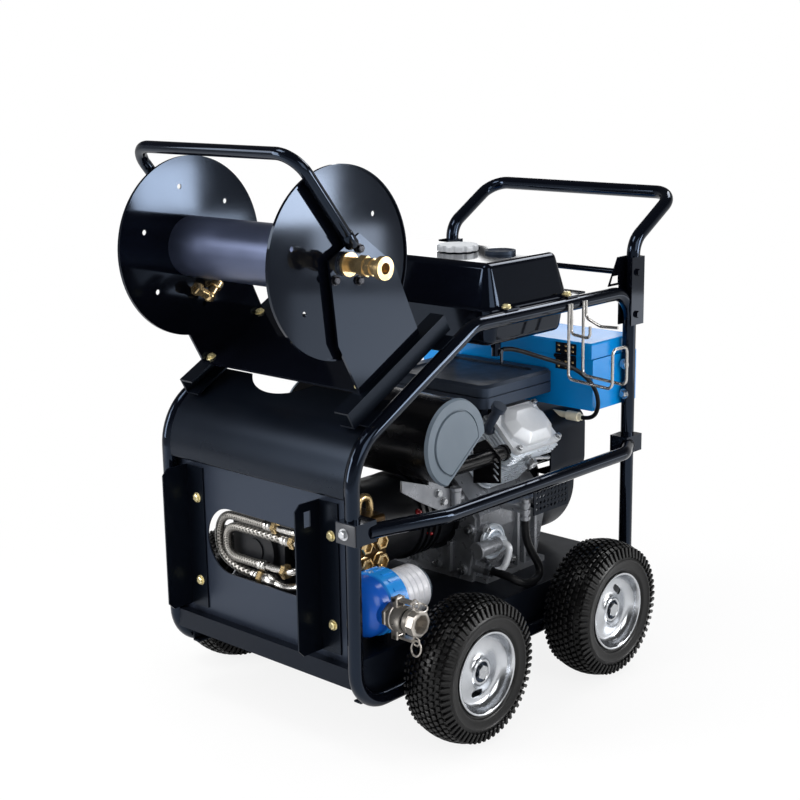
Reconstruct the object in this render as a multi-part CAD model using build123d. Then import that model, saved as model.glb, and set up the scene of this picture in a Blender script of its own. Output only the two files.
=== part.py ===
from build123d import *
import os
from math import cos, radians, sin, tan

# Wheeled petrol water jetter for drain cleaning. Millimetres, +Z up, +X to the inlet side,
# -Y to the front panel and reel, origin on the floor under the middle of the machine.

# Wheels: 280 x 100 pneumatic tyres on pressed steel rims
TYRE_D = 280.0
TYRE_W = 100.0
RIM_LIP_D = 154.0
RIM_BARREL_D = 132.0
BEAD_HALF = 36.0
RIM_SHEET = 4.0
TRACK_HALF = 322.5
FRONT_AXLE_Y = -214.0
WHEELBASE = 416.0
AXLE_Z = TYRE_D / 2
AXLE_D = 20.0
HUB_D = 42.0
HUB_IN = -44.0
HUB_OUT = 24.0
RUNNING_GAP = 0.06
AXLE_YS = (FRONT_AXLE_Y, FRONT_AXLE_Y + WHEELBASE)

# Side frames: one closed tube loop each side
TUBE_D = 28.0
TUBE_R = TUBE_D / 2
TUBE_WALL = 2.5
SIDE_X = 247.5
POST_FRONT_Y = -437.0
POST_REAR_Y = 398.0
RAIL_LOW_Z = 112.0
RAIL_TOP_Z = 760.0
FRAME_BENDS = [110.0, 75.0, 60.0, 70.0, 70.0]

# The slanted part of the loops, which carries the reel
SLOPE = radians(28.5)
SLOPE_Y = -402.0
SLOPE_Z = 600.0

# Base, panel and hood
BEAM_LOW_Z = 148.0
BEAM_TOP_Z = 185.0
TRAY_T = 5.0
TRAY_TOP_Z = BEAM_TOP_Z + TRAY_T
TRAY_HALF = 230.0
PANEL_Y = POST_FRONT_Y + TUBE_R
PANEL_T = 3.0
PANEL_TOP_Z = 500.0
PANEL_HALF = 250.0
OPENING_W = 310.0
OPENING_H = 130.0
OPENING_X = -5.0
OPENING_Z = 347.0
HOOD_LIFT = 7.0
HOOD_T = 2.0
HOOD_HALF = 234.8
HOOD_LOW_Z = 498.5
HOOD_TOP_S = 98.0
NOTCH_X = -46.0
NOTCH_S = 167.0
NOTCH_R = 109.0
BRACKET_LEGS_X = (-215.0, 150.0)
PANEL_BOLT_X = 183.0
PANEL_BOLT_ZS = (252.0, 420.0)

# Guard rail on the right side, and push handle
GUARD_X = 300.0
GUARD_Z = 437.0
HANDLE_LEG_Y = 408.0
HANDLE_FOOT_Z = 752.0
HANDLE_KNEE_Z = 862.0
HANDLE_BAR_Y = 556.0
HANDLE_BAR_Z = 950.0
TIE_BAR_D = 12.0

# Hose reel
REEL_Y = -402.0
REEL_Z = 904.0
FLANGE_D = 336.0
FLANGE_X = 193.0
FLANGE_T = 3.0
DRUM_D = 114.0
DRUM_WALL = 4.0
SHAFT_D = 30.0
SHAFT_END_X = 214.0
FLANGE_HOLES = 6
FLANGE_HOLE_R = 115.0
ELBOW_ROOT = (17.0, -95.0)
ELBOW_AIM = radians(30.0)
REEL_PLATE_X = 206.0
REEL_PLATE_T = 5.0
BEARING_BOLTS = ((33.0, 23.0), (31.0, -32.0), (-27.0, -25.0))
RAIL_LENGTH = 290.0
RAIL_START_S = 6.0
RAIL_FOOT_N = 16.0
RAIL_HEAD_N = 50.0
HOOP_X = 211.5
HOOP_D = 22.0
HOOP_BAR_Y = -514.0
HOOP_BAR_Z = 1095.0

# Engine: two cylinders in a ninety degree V over a crank along Y
CRANK_Z = 336.0
CASE_Y = (36.0, 250.0)
DECK = 100.0
BANK = radians(45.0)
CYLINDER_YS = {1: 147.0, -1: 123.0}
FIN_COUNT = 8
FIN_PITCH = 11.5
HEAD_FOOT = 196.0
COVER_FOOT = 232.0
OIL_FILTER_Y = 81.0
OIL_FILTER_Z = 262.0
BLOWER_Y = (250.0, 370.0)
BLOWER_R = 130.0
BLOWER_WALL = 4.0
MUFFLER_Y = -99.0
MUFFLER_Z = 525.0
MUFFLER_R = 84.0
MUFFLER_HALF = 190.0
MUFFLER_FLAT = 47.0
MUFFLER_TURN = -52.3
MUFFLER_SHEET = 2.0
EXHAUST_DROP = 21.0
HEAD_L = 140.0
HEAD_W = 104.0
FIN_L = 136.0
COVER_L = 144.0

# Fuel tank on the top rails
TANK_Y = 98.5
TANK_SEAM_Z = RAIL_TOP_Z + TUBE_R
TANK_SEAM_T = 4.0
TANK_W = 444.0
TANK_L = 262.0
TANK_UP = 80.0
TANK_DOWN = 74.0
TANK_SHEET = 2.0
TANK_EAR_YS = (0.0, 190.0)
CAP_X = 30.0
CAP_Y = 102.0
CAP_D = 84.0

# Pump set in front of the engine
PUMP_X = -75.0
PUMP_Z = 325.0
PUMP_Y = (-366.0, -205.0)
PLUNGER_YS = (-328.0, -286.0, -244.0)
MANIFOLD_X = (50.0, 122.0)
MANIFOLD_Y = (-368.0, -216.0)
MANIFOLD_Z = (250.0, 400.0)
HOSE_D = 17.0
HOSE_Y = -402.0

# Water filter at the inlet
FILTER_X = 187.0
FILTER_Z = 266.0
INLET_Y = -349.0
COUPLER_X = 248.0
LEVER_PIVOT_X = COUPLER_X + 22
LEVER_PIVOT_OUT = 35.0

# Routes of the lines that the engine holds at both ends
DRAIN_ROUTE = [
    (200, 108, 322),
    (200, 108, 288),
    (206, 122, 252),
    (215, 138, 222),
    (221, 130, 202),
    (223, 98, 195),
    (222, 66, 204),
    (200, 46, 222),
    (140, 46, 222),
]
FUEL_ROUTE = [
    (200, 300, 500),
    (228, 300, 500),
    (247, 296, 534),
    (246, 278, 580),
    (230, 232, 622),
    (206, 160, 650),
    (190, 104, 672),
    (180, 76, 680),
    (180, 58, 680),
]

# Tool box between the rear posts
BOX_HALF = SIDE_X - TUBE_R - 0.1
BOX_Y = (290.0, 447.0)
BOX_LOW_Z = 520.0
BOX_SEAM_Z = 628.0
BOX_TOP_Z = 661.0
BOX_SHEET = 2.0
LID_HALF = 229.5
LID_GAP = 0.5
HINGE_XS = (-165.0, 165.0)
HINGE_Y = 285.5


# Plain solids and profiles

def block(x0, x1, y0, y1, z0, z1):
    """Box between two opposite corners."""
    middle = Pos((x0 + x1) / 2, (y0 + y1) / 2, (z0 + z1) / 2)
    return middle * Box(x1 - x0, y1 - y0, z1 - z0)


def rod_x(d, x0, x1, y, z):
    return Pos((x0 + x1) / 2, y, z) * Rot(0, 90, 0) * Cylinder(d / 2, x1 - x0)


def rod_y(d, x, y0, y1, z):
    return Pos(x, (y0 + y1) / 2, z) * Rot(90, 0, 0) * Cylinder(d / 2, y1 - y0)


def rod_z(d, x, y, z0, z1):
    return Pos(x, y, (z0 + z1) / 2) * Cylinder(d / 2, z1 - z0)


def plate_x(outline, x0, x1):
    """Plate square to X, from its outline in Y and Z."""
    face = Plane.YZ * make_face(Polyline(*outline, close=True))
    return Pos(x0, 0, 0) * extrude(face, amount=x1 - x0)


def plate_y(outline, y0, y1):
    """Plate square to Y, from its outline in X and Z."""
    face = Plane.XZ * make_face(Polyline(*outline, close=True))
    return Pos(0, y1, 0) * extrude(face, amount=y1 - y0)


def prism_y(sketch, y0, y1):
    """Sketch in X and Z, drawn out between two values of Y."""
    return Pos(0, y1, 0) * extrude(Plane.XZ * sketch, amount=y1 - y0)


def tube(points, radii, outer, wall=0.0, close=False):
    """Bent tube along straight runs and tangent arcs. No wall gives a solid bar."""
    path = FilletPolyline(*points, radius=radii, close=close)
    section = Circle(outer / 2)
    if wall:
        section -= Circle(outer / 2 - wall)
    return sweep(Plane(origin=path @ 0, z_dir=path % 0) * section, path=path)


def easy_radii(points):
    """Radius at each inner point, as large as the two runs beside it allow."""
    radii = []
    for before, here, after in zip(points, points[1:], points[2:]):
        back = Vector(*before) - Vector(*here)
        ahead = Vector(*after) - Vector(*here)
        turn = radians(180 - back.get_angle(ahead))
        radii.append(0.45 * min(back.length, ahead.length) / tan(turn / 2))
    return radii


def both_sides(solid):
    """A solid of the right side and its mirror image on the left."""
    return [solid, mirror(solid, about=Plane.YZ)]


def bolt_head(origin, direction, across=13.0, height=5.5):
    seat = Plane(origin=origin, z_dir=direction)
    return extrude(seat * RegularPolygon(across / 2, 6, major_radius=False), amount=height)


def on_slope(along, out):
    """Y and Z of a point beside the slanted tube, along it and square to it."""
    y = SLOPE_Y + along * cos(SLOPE) - out * sin(SLOPE)
    z = SLOPE_Z + along * sin(SLOPE) + out * cos(SLOPE)
    return y, z


def slope_plane(along):
    """Section plane square to the slanted tube: local x is -X, local y points out of the slope."""
    return Plane(origin=(0, *on_slope(along, 0)), x_dir=(-1, 0, 0), z_dir=(0, cos(SLOPE), sin(SLOPE)))


def slope_bar(x0, x1, out0, out1, along, length):
    """Bar of rectangular section lying along the slope."""
    section = Pos(-(x0 + x1) / 2, (out0 + out1) / 2) * Rectangle(x1 - x0, out1 - out0)
    return extrude(slope_plane(along) * section, amount=length)


# Chassis

def side_frame(x, wall):
    corner_s = (POST_FRONT_Y - SLOPE_Y) / cos(SLOPE)
    rail_s = (RAIL_TOP_Z - SLOPE_Z) / sin(SLOPE)
    points = [
        (x, *on_slope(corner_s, 0)),
        (x, *on_slope(rail_s, 0)),
        (x, POST_REAR_Y, RAIL_TOP_Z),
        (x, POST_REAR_Y, RAIL_LOW_Z),
        (x, POST_FRONT_Y, RAIL_LOW_Z),
    ]
    return tube(points, FRAME_BENDS, TUBE_D, wall, close=True)


def cross_beams(frames):
    """Folded channels between the posts, open to the machine's middle."""
    beams = []
    for y, inward in ((POST_FRONT_Y, 1), (POST_REAR_Y, -1)):
        beam = block(-SIDE_X, SIDE_X, y - 5, y + 25, BEAM_LOW_Z, BEAM_TOP_Z)
        hollow = block(-SIDE_X, SIDE_X, y - 1, y + 25, BEAM_LOW_Z + 4, BEAM_TOP_Z - 4)
        beam -= hollow
        if inward < 0:
            beam = Pos(0, 2 * y, 0) * mirror(beam, about=Plane.XZ)
        beams.append(beam - frames)
    return beams


def axles():
    parts = []
    for y in AXLE_YS:
        half = TRACK_HALF + HUB_OUT
        shaft = rod_x(AXLE_D, -half - 2, half + 2, y, AXLE_Z)
        for side in (1, -1):
            near = side * (SIDE_X + 10.5)
            far = side * (TRACK_HALF + HUB_IN - 0.5)
            shaft += rod_x(30, min(near, far), max(near, far), y, AXLE_Z)
            shaft += bolt_head((side * (half + 0.5), y, AXLE_Z), (side, 0, 0), 24, 10)
        parts.append(shaft)
    return parts


def axle_hangers(frames):
    """Blocks welded on the low rails that hold the axles and carry the tray."""
    parts = []
    for y in AXLE_YS:
        hanger = block(SIDE_X - 31.5, SIDE_X + 10.5, y - 22, y + 22, RAIL_LOW_Z, BEAM_TOP_Z)
        hanger -= rod_x(AXLE_D, 0, TRACK_HALF, y, AXLE_Z)
        hanger -= frames
        parts += both_sides(hanger)
    return parts


def engine_tray(filter_form):
    tray = block(-TRAY_HALF, TRAY_HALF, PANEL_Y + PANEL_T, POST_REAR_Y - 14, BEAM_TOP_Z, TRAY_TOP_Z)
    saddle = block(FILTER_X - 22, FILTER_X + 22, -322, -314, TRAY_TOP_Z, 225)
    return tray + (saddle - filter_form)


def front_panel():
    sheet = block(-PANEL_HALF, PANEL_HALF, PANEL_Y, PANEL_Y + PANEL_T, BEAM_TOP_Z, PANEL_TOP_Z)
    window = Pos(OPENING_X, OPENING_Z) * SlotOverall(OPENING_W, OPENING_H)
    return sheet - prism_y(window, PANEL_Y - 1, PANEL_Y + PANEL_T + 1)


def front_hood(frames):
    """Sheet bent round the front of the loops, with a lip below and a hose notch in its top edge."""
    front_y = POST_FRONT_Y - HOOD_LIFT
    corner_s = (front_y - SLOPE_Y + HOOD_LIFT * sin(SLOPE)) / cos(SLOPE)
    path = FilletPolyline(
        (0, front_y + 15, HOOD_LOW_Z),
        (0, front_y, HOOD_LOW_Z),
        (0, *on_slope(corner_s, HOOD_LIFT)),
        (0, *on_slope(HOOD_TOP_S, HOOD_LIFT)),
        radius=[4, FRAME_BENDS[0] + HOOD_LIFT],
    )
    section = Plane(origin=path @ 0, x_dir=(1, 0, 0), z_dir=path % 0)
    hood = sweep(section * Rectangle(2 * HOOD_HALF, HOOD_T), path=path)
    notch_seat = Plane(origin=(NOTCH_X, *on_slope(NOTCH_S, 0)), z_dir=(0, -sin(SLOPE), cos(SLOPE)))
    notch = extrude(notch_seat * Circle(NOTCH_R), amount=20)
    return hood - notch - frames


def panel_brackets():
    """Upright angles bolted to the panel, the right one with a slot in its leg."""
    low, high, deep, edge = 198, 482, 61, 12
    parts = []
    for x in BRACKET_LEGS_X:
        flange = block(x, x + 50, PANEL_Y - 3, PANEL_Y, low, high)
        outline = [
            (PANEL_Y, low),
            (PANEL_Y, high),
            (PANEL_Y - deep + edge, high),
            (PANEL_Y - deep, high - edge),
            (PANEL_Y - deep, low + edge),
            (PANEL_Y - deep + edge, low),
        ]
        bracket = flange + plate_x(outline, x, x + 3)
        if x > 0:
            bracket -= block(x - 1, x + 4, PANEL_Y - 40, PANEL_Y - 24, high - 46, high - 16)
        parts.append(bracket)
    return parts


def guard_rail(wall):
    points = [
        (SIDE_X + 18.5, POST_FRONT_Y + 18, GUARD_Z + 6),
        (GUARD_X, -250, GUARD_Z),
        (GUARD_X, 311, GUARD_Z),
        (SIDE_X + 18.5, POST_REAR_Y - 24, GUARD_Z),
    ]
    return tube(points, [60, 50], TUBE_D, wall)


def guard_clamps(frames):
    """Clamp blocks that hold the guard rail's ends on the right posts."""
    rail = guard_rail(0)
    panel = block(-PANEL_HALF, PANEL_HALF, POST_FRONT_Y, PANEL_Y + PANEL_T, BEAM_TOP_Z, PANEL_TOP_Z)
    x, y, z = SIDE_X, POST_FRONT_Y, GUARD_Z
    front = block(x - 21.5, x + 27.5, y - 19, y + 32, z - 13, z + 27)
    y = POST_REAR_Y
    rear = block(x - 18.5, x + 24.5, y - 36, y + 18.5, z - 18, z + 18)
    return [(clamp - frames - rail - panel).solids().sort_by(SortBy.VOLUME)[-1] for clamp in (front, rear)]


def push_handle():
    x = SIDE_X
    points = [
        (x, HANDLE_LEG_Y, HANDLE_FOOT_Z),
        (x, HANDLE_LEG_Y, HANDLE_KNEE_Z),
        (x, HANDLE_BAR_Y, HANDLE_BAR_Z),
        (-x, HANDLE_BAR_Y, HANDLE_BAR_Z),
        (-x, HANDLE_LEG_Y, HANDLE_KNEE_Z),
        (-x, HANDLE_LEG_Y, HANDLE_FOOT_Z),
    ]
    return tube(points, [50, 45, 45, 50], TUBE_D, TUBE_WALL)


def handle_brackets():
    """U channels that join the handle's legs to the rear posts, with gussets and a tie bar."""
    low, high, front, t = 690, 832, 380, 3
    back = HANDLE_LEG_Y + TUBE_R
    inner_x = SIDE_X - TUBE_R
    outer_x = SIDE_X + TUBE_R
    gusset = [
        (front, low),
        (back + t, low),
        (back + t, high),
        (front - 6, high),
        (front - 39, TANK_SEAM_Z),
        (front, TANK_SEAM_Z),
    ]
    window = [
        (front - 32, TANK_SEAM_Z + 5),
        (front - 3, TANK_SEAM_Z + 5),
        (front - 3, TANK_SEAM_Z + 20),
        (front - 25, TANK_SEAM_Z + 20),
    ]
    bracket = plate_x(gusset, inner_x - t, inner_x) - plate_x(window, inner_x - t - 1, inner_x + 1)
    bracket += block(outer_x, outer_x + t, front, back + t, low, high)
    bracket += block(inner_x - t, outer_x + t, back, back + t, low, high)
    for z in (712, 800):
        bracket += bolt_head((outer_x + t, HANDLE_LEG_Y - 8, z), (1, 0, 0))
    tie_bar = rod_x(TIE_BAR_D, -inner_x + t, inner_x - t, front - 14, high - 29)
    left = mirror(bracket, about=Plane.YZ)
    return [bracket + tie_bar + left]


def accessory_rack():
    """Stainless wire cradle and two hooks on the outside of the right top rail."""
    wire = 6.0
    x = SIDE_X + TUBE_R + wire / 2
    far = TRACK_HALF + TYRE_W / 2 - wire / 2
    near_y, rear_y, top, shelf, lip = 163, 211, RAIL_TOP_Z + 5, 615, 686
    cradle = [
        (x, near_y, top),
        (x, near_y, shelf),
        (far, near_y, shelf - 7),
        (far, near_y, lip),
        (far, rear_y, lip),
        (far, rear_y, shelf - 7),
        (x, rear_y, shelf),
        (x, rear_y, top),
    ]
    hook = [(x, near_y + 9, top), (x, near_y + 9, 704), (309, near_y + 9, 700), (309, near_y + 9, 724)]
    prong = [(x, rear_y + 9, top), (x, rear_y + 9, 730), (300, rear_y + 9, 716), (342, rear_y + 9, 718)]
    return [
        tube(cradle, [12] * 6, wire),
        tube(hook, [9, 9], wire),
        tube(prong, [14, 24], wire),
    ]


def chassis_bolts(frames):
    heads = []
    for z in PANEL_BOLT_ZS:
        for x in (-PANEL_BOLT_X, PANEL_BOLT_X):
            heads.append(bolt_head((x, PANEL_Y - 3, z), (0, -1, 0)))
    heads.append(bolt_head((SIDE_X, POST_FRONT_Y - 19, GUARD_Z + 7), (0, -1, 0), 14, 6))
    heads.append(bolt_head((SIDE_X, POST_REAR_Y + 18.5, GUARD_Z), (0, 1, 0), 14, 6))
    for side in (1, -1):
        for dy, dz in BEARING_BOLTS:
            seat = (side * (REEL_PLATE_X + REEL_PLATE_T), REEL_Y + dy, REEL_Z + dz)
            heads.append(bolt_head(seat, (side, 0, 0), 13, 6))
        for y in TANK_EAR_YS:
            heads.append(bolt_head((side * (SIDE_X - 9), y, TANK_SEAM_Z + TANK_SEAM_T), (0, 0, 1)))
        for z in (543, 607):
            seat = rod_y(20, side * SIDE_X, POST_REAR_Y - TUBE_R - 2, POST_REAR_Y - TUBE_R + 4, z) - frames
            heads.append(seat + bolt_head((side * SIDE_X, POST_REAR_Y - TUBE_R - 2, z), (0, -1, 0), 13, 6))
        for s in (75, 222):
            seat = (side * 199, *on_slope(s, RAIL_HEAD_N + REEL_PLATE_T))
            heads.append(bolt_head(seat, (0, -sin(SLOPE), cos(SLOPE))))
    return heads


# Wheels

def tyre(x, y):
    crown = TYRE_D / 2
    half = TYRE_W / 2
    lip = RIM_LIP_D / 2
    seat = RIM_BARREL_D / 2
    with BuildSketch() as section:
        with BuildLine():
            Line((-BEAD_HALF, seat), (-BEAD_HALF, lip))
            ThreePointArc((-BEAD_HALF, lip), (-half, crown - 34), (-half + 7, crown - 11))
            ThreePointArc((-half + 7, crown - 11), (0, crown), (half - 7, crown - 11))
            ThreePointArc((half - 7, crown - 11), (half, crown - 34), (BEAD_HALF, lip))
            Line((BEAD_HALF, lip), (BEAD_HALF, seat))
            Line((BEAD_HALF, seat), (-BEAD_HALF, seat))
        make_face()
    return Pos(x, y, AXLE_Z) * revolve(section.sketch, axis=Axis.X)


def rim(x, y):
    """Pressed rim with a dished, slotted disc and a hub tube. The dish faces away from the frame."""
    lip = RIM_LIP_D / 2
    seat = RIM_BARREL_D / 2
    bore = AXLE_D / 2 + RUNNING_GAP
    hub = HUB_D / 2
    profile = [
        (-BEAD_HALF - RIM_SHEET, lip),
        (-BEAD_HALF, lip),
        (-BEAD_HALF, seat),
        (BEAD_HALF, seat),
        (BEAD_HALF, lip),
        (BEAD_HALF + RIM_SHEET, lip),
        (BEAD_HALF + RIM_SHEET, seat - RIM_SHEET),
        (14, seat - RIM_SHEET),
        (6, seat - 16),
        (14, hub + 12),
        (18, hub),
        (HUB_OUT, hub),
        (HUB_OUT, bore),
        (HUB_IN, bore),
        (HUB_IN, hub),
        (14, hub),
        (10, hub + 10),
        (2, seat - 16),
        (9, seat - RIM_SHEET),
        (-BEAD_HALF - RIM_SHEET, seat - RIM_SHEET),
    ]
    disc = revolve(make_face(Polyline(*profile, close=True)), axis=Axis.X)
    for turn in range(4):
        slot = Pos(0, 43, 0) * Rot(0, 90, 0) * extrude(SlotOverall(26, 9), amount=40)
        disc -= Rot(45 + 90 * turn, 0, 0) * slot
    if x < 0:
        disc = mirror(disc, about=Plane.YZ)
    return Pos(x, y, AXLE_Z) * disc


# Hose reel

def reel_rails(frames):
    """Channels beside the slanted tubes on welded lugs, open towards the middle."""
    depth, t = 34, 4
    outer = SIDE_X - TUBE_R - 7.5
    rail = slope_bar(outer - depth, outer, RAIL_FOOT_N, RAIL_HEAD_N, RAIL_START_S, RAIL_LENGTH)
    rail -= slope_bar(outer - depth, outer - t, RAIL_FOOT_N + t, RAIL_HEAD_N - t, RAIL_START_S, RAIL_LENGTH)
    parts = both_sides(rail)
    for s in (20, 240):
        lug = slope_bar(outer - depth + 8, SIDE_X, RAIL_FOOT_N - 4, RAIL_FOOT_N, s, 40) - frames
        parts += both_sides(lug)
    return parts


def reel_bracket():
    """U of plate that stands on the rails and carries the reel's bearings."""
    start, length = 60, 177
    reach = REEL_PLATE_X + REEL_PLATE_T
    base = slope_bar(-reach, reach, RAIL_HEAD_N, RAIL_HEAD_N + REEL_PLATE_T, start, length)
    cheek = [
        on_slope(start, RAIL_HEAD_N),
        on_slope(start + length, RAIL_HEAD_N),
        (-281, 891),
        (-367, 953),
        (-441, 913),
        (-424, 765),
    ]
    plate = plate_x(cheek, REEL_PLATE_X, reach) - rod_x(36, 0, reach + 1, REEL_Y, REEL_Z)
    right, left = both_sides(plate)
    return base + right + left


def reel_hoop(bracket):
    """Bent tube over the reel, with its ends slotted over the cheeks' upper edges."""
    foot_y, foot_z = REEL_Y + 14, REEL_Z + 34
    points = [
        (HOOP_X, foot_y, foot_z),
        (HOOP_X, HOOP_BAR_Y, HOOP_BAR_Z),
        (-HOOP_X, HOOP_BAR_Y, HOOP_BAR_Z),
        (-HOOP_X, foot_y, foot_z),
    ]
    return tube(points, [45, 45], HOOP_D, 2.0) - bracket


def reel_bearings():
    outer = REEL_PLATE_X + REEL_PLATE_T
    bush = rod_x(36, REEL_PLATE_X - 6, outer, REEL_Y, REEL_Z)
    bush += rod_x(42, outer, outer + 6, REEL_Y, REEL_Z)
    bush -= rod_x(SHAFT_D + 2 * RUNNING_GAP, 0, outer + 7, REEL_Y, REEL_Z)
    return both_sides(bush)


def reel_swivel():
    """Rotary inlet on the right bearing: flange, hexagon body and an open end ring."""
    root = REEL_PLATE_X + REEL_PLATE_T + 6
    body = rod_x(42, root, root + 5, REEL_Y, REEL_Z)
    body += rod_x(26, root, root + 32, REEL_Y, REEL_Z)
    body += bolt_head((root + 30, REEL_Y, REEL_Z), (1, 0, 0), 32, 16)
    body += rod_x(30, root + 46, root + 60, REEL_Y, REEL_Z)
    body += rod_x(26, root + 60, root + 78, REEL_Y, REEL_Z)
    body += rod_x(40, root + 76, root + 87, REEL_Y, REEL_Z)
    return body - rod_x(20, root + 57, root + 88, REEL_Y, REEL_Z)


def reel_drum():
    drum = rod_x(DRUM_D, -FLANGE_X, FLANGE_X, REEL_Y, REEL_Z)
    return drum - rod_x(DRUM_D - 2 * DRUM_WALL, -FLANGE_X, FLANGE_X, REEL_Y, REEL_Z)


def reel_shaft():
    return rod_x(SHAFT_D, -SHAFT_END_X, SHAFT_END_X, REEL_Y, REEL_Z)


def reel_flanges():
    """Discs with a turned edge and a ring of holes."""
    disc = rod_x(FLANGE_D, FLANGE_X, FLANGE_X + FLANGE_T, REEL_Y, REEL_Z)
    edge = rod_x(FLANGE_D, FLANGE_X, FLANGE_X + 6, REEL_Y, REEL_Z)
    edge -= rod_x(FLANGE_D - 6, FLANGE_X, FLANGE_X + 6, REEL_Y, REEL_Z)
    disc += edge
    disc -= rod_x(SHAFT_D, 0, SHAFT_END_X, REEL_Y, REEL_Z)
    for i in range(FLANGE_HOLES):
        turn = radians(42 + 360 * i / FLANGE_HOLES)
        y = REEL_Y + FLANGE_HOLE_R * cos(turn)
        z = REEL_Z + FLANGE_HOLE_R * sin(turn)
        disc -= rod_x(10, FLANGE_X - 1, FLANGE_X + FLANGE_T + 1, y, z)
    return both_sides(disc)


def reel_elbow():
    """Brass elbow on the left flange that takes the hose's inner end, aimed past the drum."""
    x, bend, reach = -170, 13, 40
    y = REEL_Y + ELBOW_ROOT[0]
    z = REEL_Z + ELBOW_ROOT[1]
    aim = Vector(0, -cos(ELBOW_AIM), sin(ELBOW_AIM))
    tip = Vector(x, y, z) + aim * reach
    pipe = tube([(-FLANGE_X, y, z), (x, y, z), tuple(tip)], [bend], 16, 4)
    nut = bolt_head(tuple(tip - aim * 10), tuple(aim), 21, 10)
    way = extrude(Plane(origin=tuple(tip), z_dir=tuple(aim)) * Circle(4), amount=bend - reach)
    return pipe + (nut - way)


# Engine

def bank_plane(side):
    """Plane on the crank with its z along a cylinder and its x along the crank."""
    return Plane(
        origin=(0, CYLINDER_YS[side], CRANK_Z),
        x_dir=(0, 1, 0),
        z_dir=(side * sin(BANK), 0, cos(BANK)),
    )


def engine_crankcase(gearbox):
    """Crankcase on its feet, with its front cover, ribs and fittings, closed up to the gearbox."""
    outline = [
        (-120, TRAY_TOP_Z),
        (120, TRAY_TOP_Z),
        (141, 300),
        (141, CRANK_Z),
        (37, 440),
        (-37, 440),
        (-141, CRANK_Z),
        (-141, 300),
    ]
    front, back = CASE_Y
    case = plate_y(outline, front, back)
    foot = block(-150, 150, front + 10, back - 10, TRAY_TOP_Z, TRAY_TOP_Z + 12)
    case = case + foot + crankcase_cover() + crankcase_ribs()
    case += rod_x(72, 100, 146, OIL_FILTER_Y, OIL_FILTER_Z)
    case += breather_fitting()
    return case - gearbox - rod_y(35 + 2 * RUNNING_GAP, 0, 205, back + 1, CRANK_Z)


def crankcase_cover():
    """Bolted front cover: a plate with a boss round each bolt and ribs down to the feet."""
    front = CASE_Y[0]
    outline = [
        (-116, 206),
        (116, 206),
        (134, 300),
        (134, 330),
        (60, 404),
        (-60, 404),
        (-134, 330),
        (-134, 300),
    ]
    cover = plate_y(outline, front - 7, front)
    for side in (1, -1):
        for x, z in ((36, 216), (104, 216), (124, 306), (92, 366)):
            cover += rod_y(22, side * x, front - 15, front, z)
        middle = side * 70
        cover += block(middle - 4, middle + 4, front - 15, front, 206, 270)
        web = [(side * 88, 290), (side * 132, 302), (side * 132, 312), (side * 88, 300)]
        cover += plate_y(web, front - 15, front)
    return cover


def muffler_stay(gearbox):
    """Drilled plate under the muffler's right end, on an arm from the gearbox."""
    x, t = 140, 5
    outline = [
        (-198, 462),
        (-122, 437),
        (-122, 452),
        (-78, 452),
        (-78, 422),
        (-48, 412),
        (-42, 377),
        (-84, 375),
        (-150, 410),
        (-198, 440),
    ]
    stay = plate_x(outline, x, x + t)
    stay += block(55, x + t, -70, -50, 385, 393)
    for y, z in ((-96, 415), (-80, 395)):
        stay -= rod_x(12, x - 1, x + t + 1, y, z)
    shell = extrude(muffler_sketch(MUFFLER_R, MUFFLER_FLAT), amount=MUFFLER_HALF, both=True)
    return (stay - shell - gearbox).solids().sort_by(SortBy.VOLUME)[-1]


def crankcase_ribs():
    """Stiffening ribs and bolt bosses on the crankcase's sides."""
    ribs = []
    for y in (150, 172, 208):
        rib = plate_x([(y, 202), (y + 7, 202), (y + 7, 330), (y, 330)], 112, 148)
        ribs += both_sides(rib)
    for y, z in ((46, 222), (46, 306), (128, 222)):
        ribs += both_sides(rod_x(24, 100, 150, y, z))
    return ribs


def breather_fitting():
    """Ribbed hose fitting beside the crankcase, on a short pipe."""
    x, y, low = DRAIN_ROUTE[0]
    fitting = rod_z(16, x, y, low, low + 44)
    for i in range(3):
        fitting += rod_z(22, x, y, low + 2 + 14 * i, low + 9 + 14 * i)
    return fitting + rod_x(14, 130, x, y, low + 20)


def engine_cylinder(side):
    """Barrel with its fins and head, as one casting."""
    seat = bank_plane(side)
    casting = extrude(seat.offset(DECK) * Circle(44), amount=HEAD_FOOT - DECK)
    fin = RectangleRounded(FIN_L, HEAD_W, 24)
    for i in range(FIN_COUNT):
        casting += extrude(seat.offset(DECK + 6 + FIN_PITCH * i) * fin, amount=4)
    head = RectangleRounded(HEAD_L, HEAD_W, 14)
    casting += extrude(seat.offset(HEAD_FOOT) * head, amount=COVER_FOOT - HEAD_FOOT)
    return casting


def valve_cover(side):
    seat = bank_plane(side)
    cover = extrude(seat.offset(COVER_FOOT) * RectangleRounded(COVER_L, HEAD_W, 12), amount=6)
    crown = RectangleRounded(COVER_L - 16, HEAD_W - 12, 16)
    cover += extrude(seat.offset(COVER_FOOT + 6) * crown, amount=24, taper=20)
    for dy, dz in ((-64, -44), (64, -44), (-64, 44), (64, 44)):
        cover += extrude(seat.offset(COVER_FOOT) * Pos(dy, dz) * Circle(7), amount=12)
    return cover


def carburettor():
    body = block(-36, 36, 100, 190, 440, 552)
    body += rod_x(44, -60, 60, 145, 500)
    return body


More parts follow.
